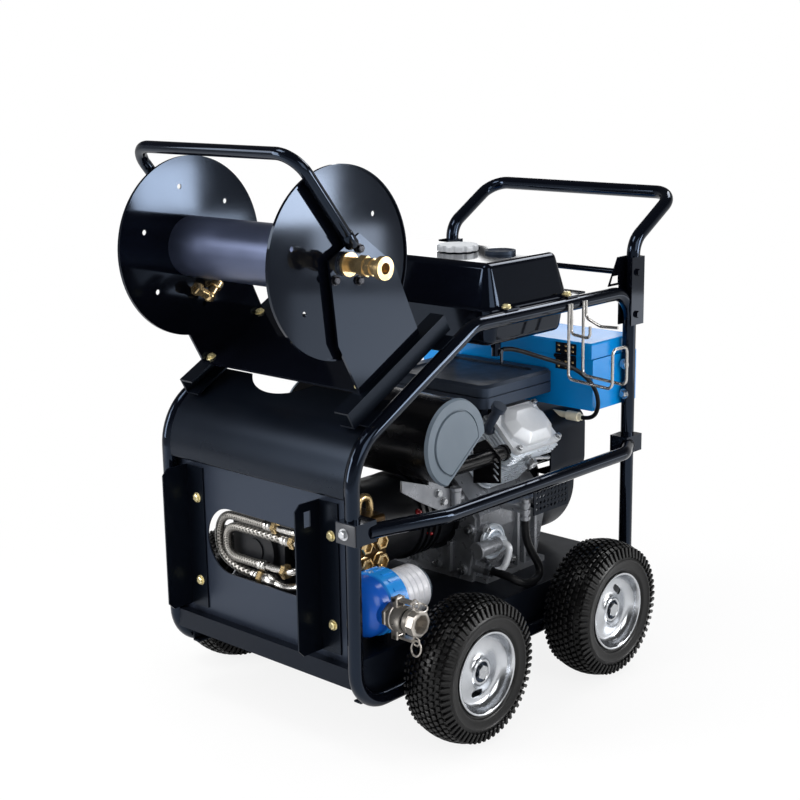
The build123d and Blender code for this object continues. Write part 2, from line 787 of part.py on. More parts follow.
def air_cleaner():
    """Flat filter case under a lid with a chamfered edge and a sunken field."""
    width, length, middle_y = 280, 233, 168.5
    outline = RectangleRounded(width, length, 22)
    seat = Plane(origin=(0, middle_y, 552), z_dir=(0, 0, 1))
    case = extrude(seat * outline, amount=22)
    case += extrude(seat.offset(22) * RectangleRounded(width - 8, length - 8, 18), amount=3)
    lid = extrude(seat.offset(25) * outline, amount=23)
    lid = chamfer(lid.faces().sort_by(Axis.Z)[-1].edges(), 6)
    lid -= extrude(seat.offset(44) * RectangleRounded(width - 60, length - 60, 14), amount=10)
    return case + lid


def blower_sketch(inset):
    low = Pos(0, CRANK_Z) * Circle(BLOWER_R - inset)
    high = Pos(0, 432) * RectangleRounded(316 - 2 * inset, 150 - 2 * inset, 40 - inset)
    return low + high


def blower_housing():
    """Fan shroud, open towards the engine, with a round intake behind."""
    front, back = BLOWER_Y
    housing = prism_y(blower_sketch(0), front, back)
    housing -= prism_y(blower_sketch(BLOWER_WALL), front, back - BLOWER_WALL)
    return housing - rod_y(216, 0, back - BLOWER_WALL - 1, back + 1, CRANK_Z)


def flywheel():
    """Crank end, flywheel, fan blades and intake screen, which turn together."""
    wheel = rod_y(35, 0, 212, 264, CRANK_Z)
    wheel += rod_y(190, 0, 262, 286, CRANK_Z)
    wheel += rod_y(70, 0, 284, 352, CRANK_Z)
    for i in range(12):
        blade = Rot(0, 30 * i, 0) * block(30, 92, 284, 336, -2, 2)
        wheel += Pos(0, 0, CRANK_Z) * blade
    screen = rod_y(206, 0, 350, 355, CRANK_Z)
    for i in range(16):
        slot = Rot(0, 22.5 * i, 0) * block(46, 94, 349, 356, -5, 5)
        screen -= Pos(0, 0, CRANK_Z) * slot
    return wheel + screen


def muffler_sketch(radius, flat):
    """D section: a circle with a flat on its rear lower side."""
    section = Circle(radius) - Pos(flat + 60, 0) * Rectangle(120, 240)
    return Plane.YZ * (Pos(MUFFLER_Y, MUFFLER_Z) * Rot(0, 0, MUFFLER_TURN) * section)


def muffler():
    t = MUFFLER_SHEET
    shell = extrude(muffler_sketch(MUFFLER_R, MUFFLER_FLAT), amount=MUFFLER_HALF, both=True)
    inside = extrude(muffler_sketch(MUFFLER_R - t, MUFFLER_FLAT - t), amount=MUFFLER_HALF - t, both=True)
    return shell - inside


def muffler_covers():
    """Caps pressed over the muffler's ends, each with a groove round a raised panel."""
    rim_w, groove_w, proud = 19, 3, 9
    cap = extrude(muffler_sketch(MUFFLER_R + 2, MUFFLER_FLAT + 2), amount=proud - 2, taper=25)
    inner = MUFFLER_R - rim_w
    cap -= Pos(proud - 5, 0, 0) * extrude(muffler_sketch(inner, MUFFLER_FLAT - 6), amount=proud)
    panel = muffler_sketch(inner - groove_w, MUFFLER_FLAT - 6 - groove_w)
    cap += Pos(proud - 6, 0, 0) * extrude(panel, amount=6, taper=10)
    return both_sides(Pos(MUFFLER_HALF, 0, 0) * cap)


def exhaust_pipes():
    """Pipes from the heads to the muffler, each with its flange and a slotted heat shield."""
    shell = extrude(muffler_sketch(MUFFLER_R, MUFFLER_FLAT), amount=MUFFLER_HALF, both=True)
    reach = (HEAD_FOOT + COVER_FOOT) / 2 * sin(BANK)
    x = reach + EXHAUST_DROP
    z = CRANK_Z + reach - EXHAUST_DROP
    outline = [
        (x - 44, z + 18),
        (x - 12, z + 34),
        (x + 26, z + 4),
        (x + 26, z - 50),
        (x - 44, z - 62),
    ]
    parts = []
    for side in (1, -1):
        face_y = CYLINDER_YS[side] - HEAD_L / 2
        shield_y = face_y - 46
        pipe = rod_y(30, x, MUFFLER_Y - 32, face_y, z)
        pipe += rod_y(34, x, face_y - 8, face_y, z)
        pipe = (pipe - shell).solids().sort_by(SortBy.VOLUME)[-1]
        shield = plate_y(outline, shield_y, shield_y + 2.5)
        for i in range(4):
            slot = Pos(x + 14, z - 2 - 13 * i) * Rot(0, 0, -40) * SlotOverall(18, 5)
            shield -= prism_y(slot, shield_y - 1, shield_y + 4)
        pipe += shield
        parts.append(pipe if side > 0 else mirror(pipe, about=Plane.YZ))
    return parts


def oil_filter():
    """Stepped filter base with a boss and a pipe elbow that turns down."""
    y, z = OIL_FILTER_Y, OIL_FILTER_Z
    base = rod_x(70, 146, 153, y, z)
    base += rod_x(60, 153, 159, y, z)
    base += rod_x(38, 159, 176, y, z)
    return base + tube([(170, y, z), (188, y, z), (188, y, z - 46)], [11], 14)


def oil_filler():
    """Filler neck on the right head, with its cap."""
    x, y, z = 138, 60, 508
    tilt = Vector(30, 0, 48).normalized()
    mouth = Vector(x, y, z) + tilt * 56
    face_y = CYLINDER_YS[1] - HEAD_L / 2
    neck = tube([(x, face_y, z), (x, y, z), tuple(mouth)], [12], 20)
    cap = extrude(Plane(origin=tuple(mouth), z_dir=tuple(tilt)) * Circle(15), amount=12)
    return [neck, cap]


def drain_hose(case):
    """Black oil drain hose that loops down beside the crankcase and back into it."""
    return tube(DRAIN_ROUTE, easy_radii(DRAIN_ROUTE), 12) - case


def perforated_guard():
    """Black perforated plate beside the crankcase, on two arms."""
    x, low, high, front, back = 188, 318, 378, 151, 267
    plate = block(x, x + 2.5, front, back, low, high)
    pitch, size = 12.0, 6.5
    holes = []
    for i in range(9):
        for j in range(4):
            y = front + 10 + pitch * i
            z = low + 12 + pitch * j
            holes.append(Pos(x - 1, y, z) * Rot(45, 0, 0) * Box(8, size, size))
    plate -= holes
    for y in (190, 225):
        plate += block(141, x, y, y + 10, 320, 326)
    return plate


# Fuel system

def tank_half(rise, z, up, taper, inset):
    seat = Plane(origin=(0, TANK_Y, z), z_dir=(0, 0, up))
    sketch = RectangleRounded(TANK_W - 2 * inset, TANK_L - 2 * inset, 34 - inset)
    form = extrude(seat * sketch, amount=rise - inset, taper=taper)
    far = form.faces().sort_by(Axis.Z)[-1 if up > 0 else 0]
    return fillet(far.edges(), 14 - inset)


def fuel_tank():
    """Two pressed halves on a seam flange with four mounting ears, a filler neck and an outlet."""
    seam_top = TANK_SEAM_Z + TANK_SEAM_T
    seam = block(-243, 243, TANK_Y - 147.5, TANK_Y + 147.5, TANK_SEAM_Z, seam_top)
    for y in TANK_EAR_YS:
        seam += block(-SIDE_X - 8, SIDE_X + 8, y - 18, y + 18, TANK_SEAM_Z, seam_top)
    tank = seam + tank_half(TANK_UP, seam_top, 1, 16, 0) + tank_half(TANK_DOWN, TANK_SEAM_Z, -1, 10, 0)
    tank -= tank_half(TANK_UP, seam_top, 1, 16, TANK_SHEET)
    tank -= tank_half(TANK_DOWN, TANK_SEAM_Z, -1, 10, TANK_SHEET)
    tank -= block(-200, 200, TANK_Y - 110, TANK_Y + 110, TANK_SEAM_Z - 1, seam_top + 1)
    top = seam_top + TANK_UP
    tank += rod_z(60, CAP_X, CAP_Y, top - 1, top + 6) - rod_z(52, CAP_X, CAP_Y, top - 2, top + 7)
    tank -= rod_z(52, CAP_X, CAP_Y, top - 4, top + 7)
    return tank + fuel_tap()


def fuel_tap():
    """Outlet under the tank: spigot, nut, tap body with its lever, and the hose nipple."""
    x, y, z = FUEL_ROUTE[-1]
    y -= 18
    tap = rod_z(12, x, y, z, TANK_SEAM_Z - TANK_DOWN + 1)
    tap += bolt_head((x, y, z + 8), (0, 0, 1), 19, 8)
    tap += rod_z(17, x, y, z - 9, z + 8)
    tap += rod_y(7, x, y, y + 18, z)
    tap += rod_x(9, x, x + 15, y, z)
    return tap + block(x + 12, x + 15, y - 3, y + 3, z - 24, z)


def fuel_cap():
    """Scalloped cap that turns on the neck."""
    top = TANK_SEAM_Z + TANK_SEAM_T + TANK_UP
    cap = rod_z(CAP_D, CAP_X, CAP_Y, top + 2, top + 14)
    cap = fillet(cap.faces().sort_by(Axis.Z)[-1].edges(), 3)
    cap -= rod_z(64, CAP_X, CAP_Y, top + 1, top + 6.6)
    for i in range(12):
        turn = radians(30 * i)
        x = CAP_X + (CAP_D / 2 + 2) * cos(turn)
        y = CAP_Y + (CAP_D / 2 + 2) * sin(turn)
        cap -= rod_z(12, x, y, top + 1, top + 15)
    return cap


def fuel_gauge():
    top = TANK_SEAM_Z + TANK_SEAM_T + TANK_UP
    ring = rod_z(62, 118, 130, top, top + 6)
    return ring - rod_z(52, 118, 130, top + 4, top + 7)


def fuel_line():
    return tube(FUEL_ROUTE, easy_radii(FUEL_ROUTE), 9)


def fuel_filter():
    """White inline filter, plugged into the side of the blower housing."""
    x, y, z = FUEL_ROUTE[0]
    body = rod_x(20, 163, 192, y, z) + rod_x(13, 120, x, y, z)
    body -= prism_y(blower_sketch(0), *BLOWER_Y)
    return body.solids().sort_by(SortBy.VOLUME)[-1]


# Pump set

def pump_gearbox():
    """Reduction gearbox that steps from the crank down to the pump shaft."""
    rings = (Pos(0, CRANK_Z) * Circle(85)).edges() + (Pos(PUMP_X, PUMP_Z) * Circle(72)).edges()
    case = prism_y(make_hull(rings), PUMP_Y[1], CASE_Y[0])
    case += rod_y(190, 0, CASE_Y[0] - 10, CASE_Y[0], CRANK_Z)
    for y in (-76, -58, -40, -22):
        case += rod_y(182, 0, y, y + 7, CRANK_Z)
    return case


def pump_crankcase():
    """Finned crankcase on two feet, a round bearing cover in front and three plunger housings."""
    front, back = PUMP_Y
    case = block(PUMP_X - 75, PUMP_X + 70, front, back, 255, 388)
    case = fillet(case.edges().filter_by(Axis.Y), 18)
    case += rod_y(104, PUMP_X, front - 12, front, PUMP_Z)
    case += rod_y(46, PUMP_X, front - 15, front - 12, PUMP_Z)
    for i in range(5):
        y = front + 22 + 28 * i
        case += block(PUMP_X - 82, PUMP_X + 40, y, y + 8, 300, 396)
    for x in (PUMP_X - 66, PUMP_X + 36):
        case += block(x, x + 30, front + 20, back - 20, TRAY_TOP_Z, 262)
    for y in PLUNGER_YS:
        case += rod_x(38, PUMP_X + 60, MANIFOLD_X[0], y, PUMP_Z)
    return case


def pump_manifold():
    """Brass valve block with two rows of hexagon valve caps."""
    body = block(*MANIFOLD_X, *MANIFOLD_Y, *MANIFOLD_Z)
    body = fillet(body.edges().filter_by(Axis.Y), 10)
    middle_x = sum(MANIFOLD_X) / 2
    for y in PLUNGER_YS:
        body += rod_z(36, middle_x, y, MANIFOLD_Z[1] - 2, MANIFOLD_Z[1] + 5)
        body += bolt_head((middle_x, y, MANIFOLD_Z[1] + 4), (0, 0, 1), 28, 11)
        body += rod_x(36, MANIFOLD_X[1] - 2, MANIFOLD_X[1] + 4, y, 352)
        body += bolt_head((MANIFOLD_X[1] + 3, y, 352), (1, 0, 0), 28, 10)
    return body


# Each braided hose: loop left of the opening, where its ends stop, and where its pipes enter the manifold
HOSES = [
    {"left": -157, "low": 268, "high": 391, "low_end": -68, "high_end": -20, "low_pipe": 68, "high_pipe": 70},
    {"left": -133, "low": 290, "high": 371, "low_end": 0, "high_end": 26, "low_pipe": 100, "high_pipe": 102},
]
PIPE_D = {"low": 20.0, "high": 14.0}
FERRULE = 20.0
NUT = 13.0


def pressure_hoses():
    parts = []
    for hose in HOSES:
        radius = (hose["high"] - hose["low"]) / 2 - 0.5
        points = [
            (hose["high_end"], HOSE_Y, hose["high"]),
            (hose["left"], HOSE_Y, hose["high"]),
            (hose["left"], HOSE_Y, hose["low"]),
            (hose["low_end"], HOSE_Y, hose["low"]),
        ]
        parts.append(tube(points, [radius, radius], HOSE_D))
    return parts


def hose_pipes():
    """Steel ferrules and the bent pipes that lead into the manifold's front."""
    parts = []
    for hose in HOSES:
        for level in ("high", "low"):
            x, z = hose[level + "_end"], hose[level]
            bend = hose[level + "_pipe"]
            parts.append(rod_x(19, x, x + FERRULE, HOSE_Y, z))
            start = x + FERRULE + NUT
            points = [(start, HOSE_Y, z), (bend, HOSE_Y, z), (bend, MANIFOLD_Y[0], z)]
            reach = min(bend - start, MANIFOLD_Y[0] - HOSE_Y) - 1
            parts.append(tube(points, [min(26, reach)], PIPE_D[level], 2))
    return parts


def hose_nuts():
    parts = []
    for hose in HOSES:
        for level in ("high", "low"):
            x = hose[level + "_end"] + FERRULE
            parts.append(bolt_head((x, HOSE_Y, hose[level]), (1, 0, 0), 19, NUT))
    return parts


# Water filter and its coupler

def turned_y(profile, x, z):
    """Solid of revolution about a line along Y, from radius and Y pairs."""
    return Pos(x, 0, z) * revolve(make_face(Polyline(*profile, close=True)), axis=Axis.Y)


def filter_head():
    """Blue dome and collar, with an inlet boss outwards and an outlet to the pump."""
    with BuildSketch() as section:
        with BuildLine():
            Line((0, -388), (14, -388))
            ThreePointArc((14, -388), (45, -377), (57, -352))
            Line((57, -352), (57, -338))
            Line((57, -338), (60, -334))
            Line((60, -334), (60, -292))
            Line((60, -292), (0, -292))
            Line((0, -292), (0, -388))
        make_face()
    head = Pos(FILTER_X, 0, FILTER_Z) * revolve(section.sketch, axis=Axis.Y)
    for i in range(20):
        head += Pos(FILTER_X, 0, FILTER_Z) * Rot(0, 18 * i, 0) * block(57, 62, -322, -297, -3, 3)
    head += rod_x(44, FILTER_X, COUPLER_X, INLET_Y, FILTER_Z)
    head += rod_x(36, MANIFOLD_X[1], FILTER_X, INLET_Y, FILTER_Z)
    return head


def filter_bowl():
    outer = [(0, -292), (47, -292), (47, -213), (40, -204), (0, -204)]
    inner = [(0, -292), (43, -292), (43, -215), (37, -208), (0, -208)]
    return turned_y(outer, FILTER_X, FILTER_Z) - turned_y(inner, FILTER_X, FILTER_Z)


def cam_coupler():
    """Stainless coupler: hexagon adapter, cup, two pairs of lever lugs with pins, open pipe thread."""
    x = COUPLER_X
    cup = bolt_head((x, INLET_Y, FILTER_Z), (1, 0, 0), 42, 9)
    cup += rod_x(38, x + 9, x + 12, INLET_Y, FILTER_Z)
    cup += rod_x(50, x + 12, x + 46, INLET_Y, FILTER_Z)
    cup += rod_x(44, x + 46, x + 76, INLET_Y, FILTER_Z)
    cup += rod_x(48, x + 70, x + 78, INLET_Y, FILTER_Z)
    cup -= rod_x(34, x + 40, x + 79, INLET_Y, FILTER_Z)
    for up in (1, -1):
        z = FILTER_Z + up * LEVER_PIVOT_OUT
        low, high = sorted((FILTER_Z + up * 20, z + 5 * up))
        for dy in (-11, 7):
            cup += block(x + 14, x + 30, INLET_Y + dy, INLET_Y + dy + 4, low, high)
        low, high = sorted((z - 11 * up, z))
        cup -= block(x + 12.5, x + 32, INLET_Y - 7, INLET_Y + 7, low, high)
        cup += rod_y(5, LEVER_PIVOT_X, INLET_Y - 11, INLET_Y + 11, z)
    return cup


def cam_lever(up):
    """Lever with its cam eye on the pin and a pull ring at its tip."""
    x = LEVER_PIVOT_X
    z = FILTER_Z + up * LEVER_PIVOT_OUT
    lever = rod_y(13, x, INLET_Y - 6, INLET_Y + 6, z)
    lever += block(x, x + 36, INLET_Y - 6, INLET_Y + 6, z - 2.5, z + 2.5)
    lever += Pos(x + 43, INLET_Y, z) * Rot(90, 0, 0) * Torus(8, 1.5)
    return lever - rod_y(5 + 2 * RUNNING_GAP, x, INLET_Y - 7, INLET_Y + 7, z)


# Tool box

def toolbox_body():
    box = block(-BOX_HALF, BOX_HALF, *BOX_Y, BOX_LOW_Z, BOX_SEAM_Z - LID_GAP)
    t = BOX_SHEET
    return box - block(-BOX_HALF + t, BOX_HALF - t, BOX_Y[0] + t, BOX_Y[1] - t, BOX_LOW_Z + t, BOX_SEAM_Z)


def toolbox_lid():
    lid = block(-LID_HALF, LID_HALF, *BOX_Y, BOX_SEAM_Z, BOX_TOP_Z)
    lid = fillet(lid.faces().sort_by(Axis.Z)[-1].edges(), 4)
    t = BOX_SHEET
    return lid - block(-LID_HALF + t, LID_HALF - t, BOX_Y[0] + t, BOX_Y[1] - t, BOX_SEAM_Z - 1, BOX_TOP_Z - t)


def toolbox_hinges():
    """Fixed leaves with two knuckles and the pin each."""
    parts = []
    for x in HINGE_XS:
        hinge = block(x - 26, x + 26, 288, BOX_Y[0], 600, 624)
        for near in (x - 26, x + 10):
            hinge += rod_x(8, near, near + 16, HINGE_Y, BOX_SEAM_Z)
            hinge += block(near, near + 16, HINGE_Y - 1, BOX_Y[0], 623, 626.5)
        hinge += rod_x(4, x - 26, x + 26, HINGE_Y, BOX_SEAM_Z)
        parts.append(hinge)
    return parts


def lid_leaves():
    """Moving leaves with one knuckle each, on the lid's front."""
    parts = []
    for x in HINGE_XS:
        leaf = block(x - 26, x + 26, 288, BOX_Y[0], 633, 656)
        leaf += rod_x(8, x - 9.5, x + 9.5, HINGE_Y, BOX_SEAM_Z)
        leaf += block(x - 9.5, x + 9.5, HINGE_Y - 1, BOX_Y[0], 629.5, 634)
        leaf -= rod_x(4 + 2 * RUNNING_GAP, x - 10, x + 10, HINGE_Y, BOX_SEAM_Z)
        parts.append(leaf)
    return parts


def build():
    frames = side_frame(SIDE_X, 0) + side_frame(-SIDE_X, 0)
    head = filter_head()
    gearbox = pump_gearbox()
    case = engine_crankcase(gearbox)
    bracket = reel_bracket()
    nodes = {
        "side_frames": both_sides(side_frame(SIDE_X, TUBE_WALL)),
        "base_frame": cross_beams(frames) + axle_hangers(frames),
        "axles": axles(),
        "engine_tray": engine_tray(head),
        "front_panel": front_panel(),
        "front_hood": front_hood(frames),
        "panel_brackets": panel_brackets(),
        "guard_rails": [guard_rail(TUBE_WALL)] + guard_clamps(frames),
        "push_handle": push_handle(),
        "handle_brackets": handle_brackets(),
        "accessory_rack": accessory_rack(),
        "chassis_bolts": chassis_bolts(frames),
        "reel_rails": reel_rails(frames),
        "reel_bracket": bracket,
        "reel_hoop": reel_hoop(bracket),
        "reel_bearings": reel_bearings(),
        "reel_swivel": reel_swivel(),
        "reel_drum": [reel_drum(), reel_shaft()],
        "reel_flanges": reel_flanges(),
        "reel_elbow": reel_elbow(),
        "engine_crankcase": [case, muffler_stay(gearbox)],
        "engine_cylinders": [engine_cylinder(1), engine_cylinder(-1)],
        "valve_covers": [valve_cover(1), valve_cover(-1)],
        "air_cleaner": [air_cleaner(), carburettor()],
        "blower_housing": blower_housing(),
        "flywheel": flywheel(),
        "muffler": [muffler(), *exhaust_pipes()],
        "muffler_covers": muffler_covers(),
        "oil_filter": oil_filter(),
        "oil_filler": oil_filler(),
        "drain_hose": drain_hose(case),
        "perforated_guard": perforated_guard(),
        "fuel_tank": fuel_tank(),
        "fuel_cap": fuel_cap(),
        "fuel_gauge": fuel_gauge(),
        "fuel_line": fuel_line(),
        "fuel_filter": fuel_filter(),
        "pump_gearbox": gearbox,
        "pump_crankcase": pump_crankcase(),
        "pump_manifold": pump_manifold(),
        "pressure_hoses": pressure_hoses(),
        "hose_pipes": hose_pipes(),
        "hose_nuts": hose_nuts(),
        "filter_head": head,
        "filter_bowl": filter_bowl(),
        "cam_coupler": cam_coupler(),
        "cam_lever_top": cam_lever(1),
        "cam_lever_bottom": cam_lever(-1),
        "toolbox_body": toolbox_body(),
        "toolbox_lid": toolbox_lid(),
        "toolbox_hinges": toolbox_hinges(),
        "lid_leaves": lid_leaves(),
    }
    for end, y in zip(("front", "rear"), AXLE_YS):
        for hand, x in (("right", TRACK_HALF), ("left", -TRACK_HALF)):
            nodes[f"tyre_{end}_{hand}"] = tyre(x, y)
            nodes[f"rim_{end}_{hand}"] = rim(x, y)
    return nodes


def print_bends():
    """Least bend radius of each line, to compare with its diameter."""
    for name, route in (("drain hose", DRAIN_ROUTE), ("fuel line", FUEL_ROUTE)):
        print(name, "bend radii", [round(r) for r in easy_radii(route)])
    for hose in HOSES:
        print("pressure hose bend radius", (hose["high"] - hose["low"]) / 2)


def write(nodes):
    os.makedirs("parts", exist_ok=True)
    for name, form in nodes.items():
        pieces = form if isinstance(form, list) else [form]
        solids = [solid for piece in pieces for solid in piece.solids()]
        body = solids[0] if len(solids) == 1 else Compound(solids)
        body.label = name
        export_step(body, f"parts/{name}.step")


print_bends()
write(build())
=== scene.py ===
import math

import bmesh
import bpy
from mathutils import Matrix, Vector


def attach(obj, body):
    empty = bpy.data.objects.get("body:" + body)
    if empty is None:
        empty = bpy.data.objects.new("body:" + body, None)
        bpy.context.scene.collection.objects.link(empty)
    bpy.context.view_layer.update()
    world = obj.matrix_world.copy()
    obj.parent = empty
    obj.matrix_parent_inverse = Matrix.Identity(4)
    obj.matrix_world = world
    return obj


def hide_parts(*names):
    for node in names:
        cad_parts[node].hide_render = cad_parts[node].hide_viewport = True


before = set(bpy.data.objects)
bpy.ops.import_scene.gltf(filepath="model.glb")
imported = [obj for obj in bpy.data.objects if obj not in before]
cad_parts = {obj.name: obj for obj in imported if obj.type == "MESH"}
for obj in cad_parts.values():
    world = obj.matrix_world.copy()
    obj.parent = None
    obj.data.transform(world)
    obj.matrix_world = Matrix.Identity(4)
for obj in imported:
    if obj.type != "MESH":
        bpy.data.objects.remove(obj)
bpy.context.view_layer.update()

# Wheeled drain jetter: black tube frame, V engine, plunger pump, open reel, blue filter and tool box.
# The machine's lengths are in mm, the studio's in metres.

MM = 0.001
ALONG_X = Vector((1, 0, 0))
ALONG_Y = Vector((0, 1, 0))
ALONG_Z = Vector((0, 0, 1))


# Materials

def linear(hex_colour):
    """sRGB hex as the linear colour that shaders take."""
    parts = [int(hex_colour[i:i + 2], 16) / 255 for i in (1, 3, 5)]
    return [c / 12.92 if c <= 0.04045 else ((c + 0.055) / 1.055) ** 2.4 for c in parts] + [1.0]


def add_node(tree, kind, inputs=None, **settings):
    """One node with its settings, its input values and its links."""
    made = tree.nodes.new(kind)
    for name, value in settings.items():
        setattr(made, name, value)
    for socket, value in (inputs or {}).items():
        if isinstance(value, bpy.types.NodeSocket):
            tree.links.new(value, made.inputs[socket])
        else:
            made.inputs[socket].default_value = value
    return made


def start_material(name):
    """Empty material with its tree and shader."""
    material = bpy.data.materials.new(name)
    material.use_nodes = True
    tree = material.node_tree
    return material, tree, tree.nodes["Principled BSDF"]


def object_place(tree):
    """Object coordinates, which move with the piece."""
    return add_node(tree, "ShaderNodeTexCoord").outputs["Object"]


def noise(tree, place, size_mm, detail, roughness=0.5):
    """Soft noise whose patches have a size in mm."""
    made = add_node(tree, "ShaderNodeTexNoise", {
        "Vector": place, "Scale": 1 / (size_mm * MM), "Detail": detail, "Roughness": roughness})
    return made.outputs["Fac"]


def two_tones(tree, share, first, second):
    """Colour between two hex tones."""
    mix = add_node(tree, "ShaderNodeMix", {
        0: share, 6: linear(first), 7: linear(second)}, data_type="RGBA")
    return mix.outputs[2]


def relief(tree, height, strength, depth_mm):
    """Normal of a fine relief."""
    bump = add_node(tree, "ShaderNodeBump", {
        "Height": height, "Strength": strength, "Distance": depth_mm * MM})
    return bump.outputs["Normal"]


def finish_shader(tree, shader, colour, normal, **values):
    """Links a shader's colour and relief, and sets its plain values."""
    tree.links.new(colour, shader.inputs["Base Color"])
    tree.links.new(normal, shader.inputs["Normal"])
    for socket, value in values.items():
        shader.inputs[socket.replace("_", " ")].default_value = value


GRAIN_DEPTH = 0.3


def finish_material(name, base, worn, patch_mm, rough, grain_mm, bump, **shader_values):
    """A finish whose colour and gloss drift over patches, with a fine grain in its relief."""
    material, tree, shader = start_material(name)
    place = object_place(tree)
    patches = noise(tree, place, patch_mm, 3.0, 0.55)
    grain = noise(tree, place, grain_mm, 2.0)
    gloss = add_node(tree, "ShaderNodeMapRange", {
        "Value": patches, "From Min": 0.3, "From Max": 0.7, "To Min": rough[0], "To Max": rough[1]})
    tree.links.new(gloss.outputs["Result"], shader.inputs["Roughness"])
    colour = two_tones(tree, patches, base, worn)
    finish_shader(tree, shader, colour, relief(tree, grain, bump, GRAIN_DEPTH), **shader_values)
    return material


# Cold cast of the studio's light in black paint
COOL = (0.5, 0.68, 1.0, 1.0)

# Baked gloss enamel on steel tube: near black, a hard shine and a faint orange peel
black_enamel = finish_material(
    "gloss_black_enamel", "#04050a", "#070910", 120, (0.05, 0.09), 6, 0.02,
    Specular_IOR_Level=0.36, Specular_Tint=COOL)
# The same enamel flowed out on large discs and the tank, where it mirrors the room
mirror_enamel = finish_material(
    "flow_coated_black_enamel", "#04050a", "#070910", 160, (0.06, 0.09), 8, 0.012,
    Specular_IOR_Level=0.26, Specular_Tint=COOL)
# And on the reel's stand, polished, with a hard shine
bracket_enamel = finish_material(
    "polished_black_enamel", "#05060b", "#080a11", 160, (0.06, 0.1), 8, 0.01,
    Specular_IOR_Level=0.42, Specular_Tint=COOL)
# Black lacquer over rolled steel on the drum: a broad soft shine
drum_lacquer = finish_material(
    "black_lacquered_steel", "#3f465c", "#4d556d", 80, (0.3, 0.38), 3, 0.05, Metallic=0.75)
# Enamelled sheet of the hood and brackets, which lies flatter
black_sheet = finish_material(
    "black_enamelled_sheet", "#04060b", "#070a11", 160, (0.26, 0.32), 4, 0.02,
    Specular_IOR_Level=0.22, Specular_Tint=COOL)
# The panel's sheet, rubbed to a paler satin
panel_sheet = finish_material(
    "satin_black_enamelled_sheet", "#12151d", "#191d27", 140, (0.3, 0.4), 3, 0.04,
    Specular_IOR_Level=0.5, Specular_Tint=COOL)
# Powder coat on the base and brackets: satin, with a fine pebble
black_powder = finish_material(
    "satin_black_powder_coat", "#07090f", "#0c0f16", 90, (0.34, 0.44), 1.6, 0.08,
    Specular_IOR_Level=0.16, Specular_Tint=COOL)
# Heat-proof stove paint on the muffler: very dark, with a soft shine
stove_black = finish_material(
    "baked_stove_paint", "#070709", "#0c0c0f", 60, (0.2, 0.3), 1.6, 0.06, Specular_IOR_Level=0.3)
# Its end covers: flat blue-grey
stove_grey = finish_material(
    "grey_stove_paint", "#76838f", "#667380", 70, (0.4, 0.5), 1.5, 0.08, Specular_IOR_Level=0.4)
# Grey enamel on the clamp's plate, dull beside the black tube
steel_grey = finish_material(
    "grey_enamelled_plate", "#33363d", "#282b31", 20, (0.3, 0.4), 2, 0.06, Specular_IOR_Level=0.5)
# Sand-cast aluminium, pale, with a soft sparkle
cast_aluminium = finish_material(
    "sand_cast_aluminium", "#dde0e4", "#cdd1d7", 18, (0.36, 0.5), 1.2, 0.25, Metallic=0.2)
# Die-cast crankcase: mid grey, with bright edges
grey_casting = finish_material(
    "grey_die_casting", "#a0a3a9", "#72757b", 26, (0.24, 0.36), 1.4, 0.22, Metallic=0.55)
# Finned barrels and heads: pale aluminium, brightened further as painted light where the heads lie in
# shade
fin_aluminium_with_painted_light = finish_material(
    "die_cast_fin_aluminium_painted_light", "#e6ecf3", "#c3ccd6", 20, (0.24, 0.36), 1.2, 0.15, Metallic=0.35)
# Coated gearbox and pump: black and dull, with a coarse skin
dark_casting = finish_material(
    "black_coated_casting", "#0e0f13", "#17191e", 25, (0.36, 0.5), 1.4, 0.25, Specular_IOR_Level=0.3)
# Turned brass: pale yellow with a slight tarnish
turned_brass = finish_material(
    "turned_brass", "#dcc496", "#b39666", 14, (0.16, 0.26), 1.0, 0.06, Metallic=0.85)
# Forged brass of the valve block, dark with oil
forged_brass = finish_material(
    "oiled_forged_brass", "#4b3618", "#21170b", 30, (0.3, 0.46), 1.6, 0.2, Metallic=0.8)
# Nickel-plated coupler: warm, bright and hard
nickel_plate = finish_material(
    "nickel_plated_casting", "#c8c3bc", "#a6a098", 10, (0.26, 0.38), 1.0, 0.1, Metallic=0.8)
# Polished stainless wire and pipe: sharp bright lines
stainless = finish_material(
    "polished_stainless_steel", "#c3c1be", "#a8a6a3", 20, (0.18, 0.3), 0.9, 0.06, Metallic=1.0)
# Zinc plate on plain bolts: bright and slightly cloudy
zinc = finish_material(
    "bright_zinc_plate", "#c4c6c8", "#a8abb0", 16, (0.22, 0.36), 0.9, 0.1, Metallic=1.0)
# Yellow passivated bolts: small straw-coloured glints
yellow_zinc = finish_material(
    "yellow_zinc_plate", "#f3e7b9", "#d8c88f", 6, (0.2, 0.3), 0.9, 0.08, Metallic=0.6)
# Spun galvanised rims: bright, with soft rings of light
rim_steel = finish_material(
    "spun_galvanised_steel", "#cfd1d4", "#b0b4ba", 24, (0.17, 0.25), 1.2, 0.03, Metallic=1.0)
# Oiled black bolts of the bearings
black_oxide = finish_material(
    "black_oxide_steel", "#3a3b40", "#232428", 8, (0.22, 0.34), 1.0, 0.08, Metallic=0.9)
# Moulded tyre rubber: deep grey-black
tyre_rubber = finish_material(
    "moulded_tyre_rubber", "#050506", "#09090a", 30, (0.28, 0.4), 1.0, 0.15, Specular_IOR_Level=0.28)
# Extruded hoses: black, with one soft line of light
hose_rubber = finish_material(
    "extruded_black_rubber", "#0a0b0d", "#111215", 20, (0.32, 0.44), 1.0, 0.08, Specular_IOR_Level=0.15)
# Moulded nylon of the air cleaner: a dark slate, matt
black_plastic = finish_material(
    "moulded_black_nylon", "#232831", "#2d333e", 40, (0.36, 0.5), 0.9, 0.15,
    Specular_IOR_Level=0.5, Specular_Tint=COOL)
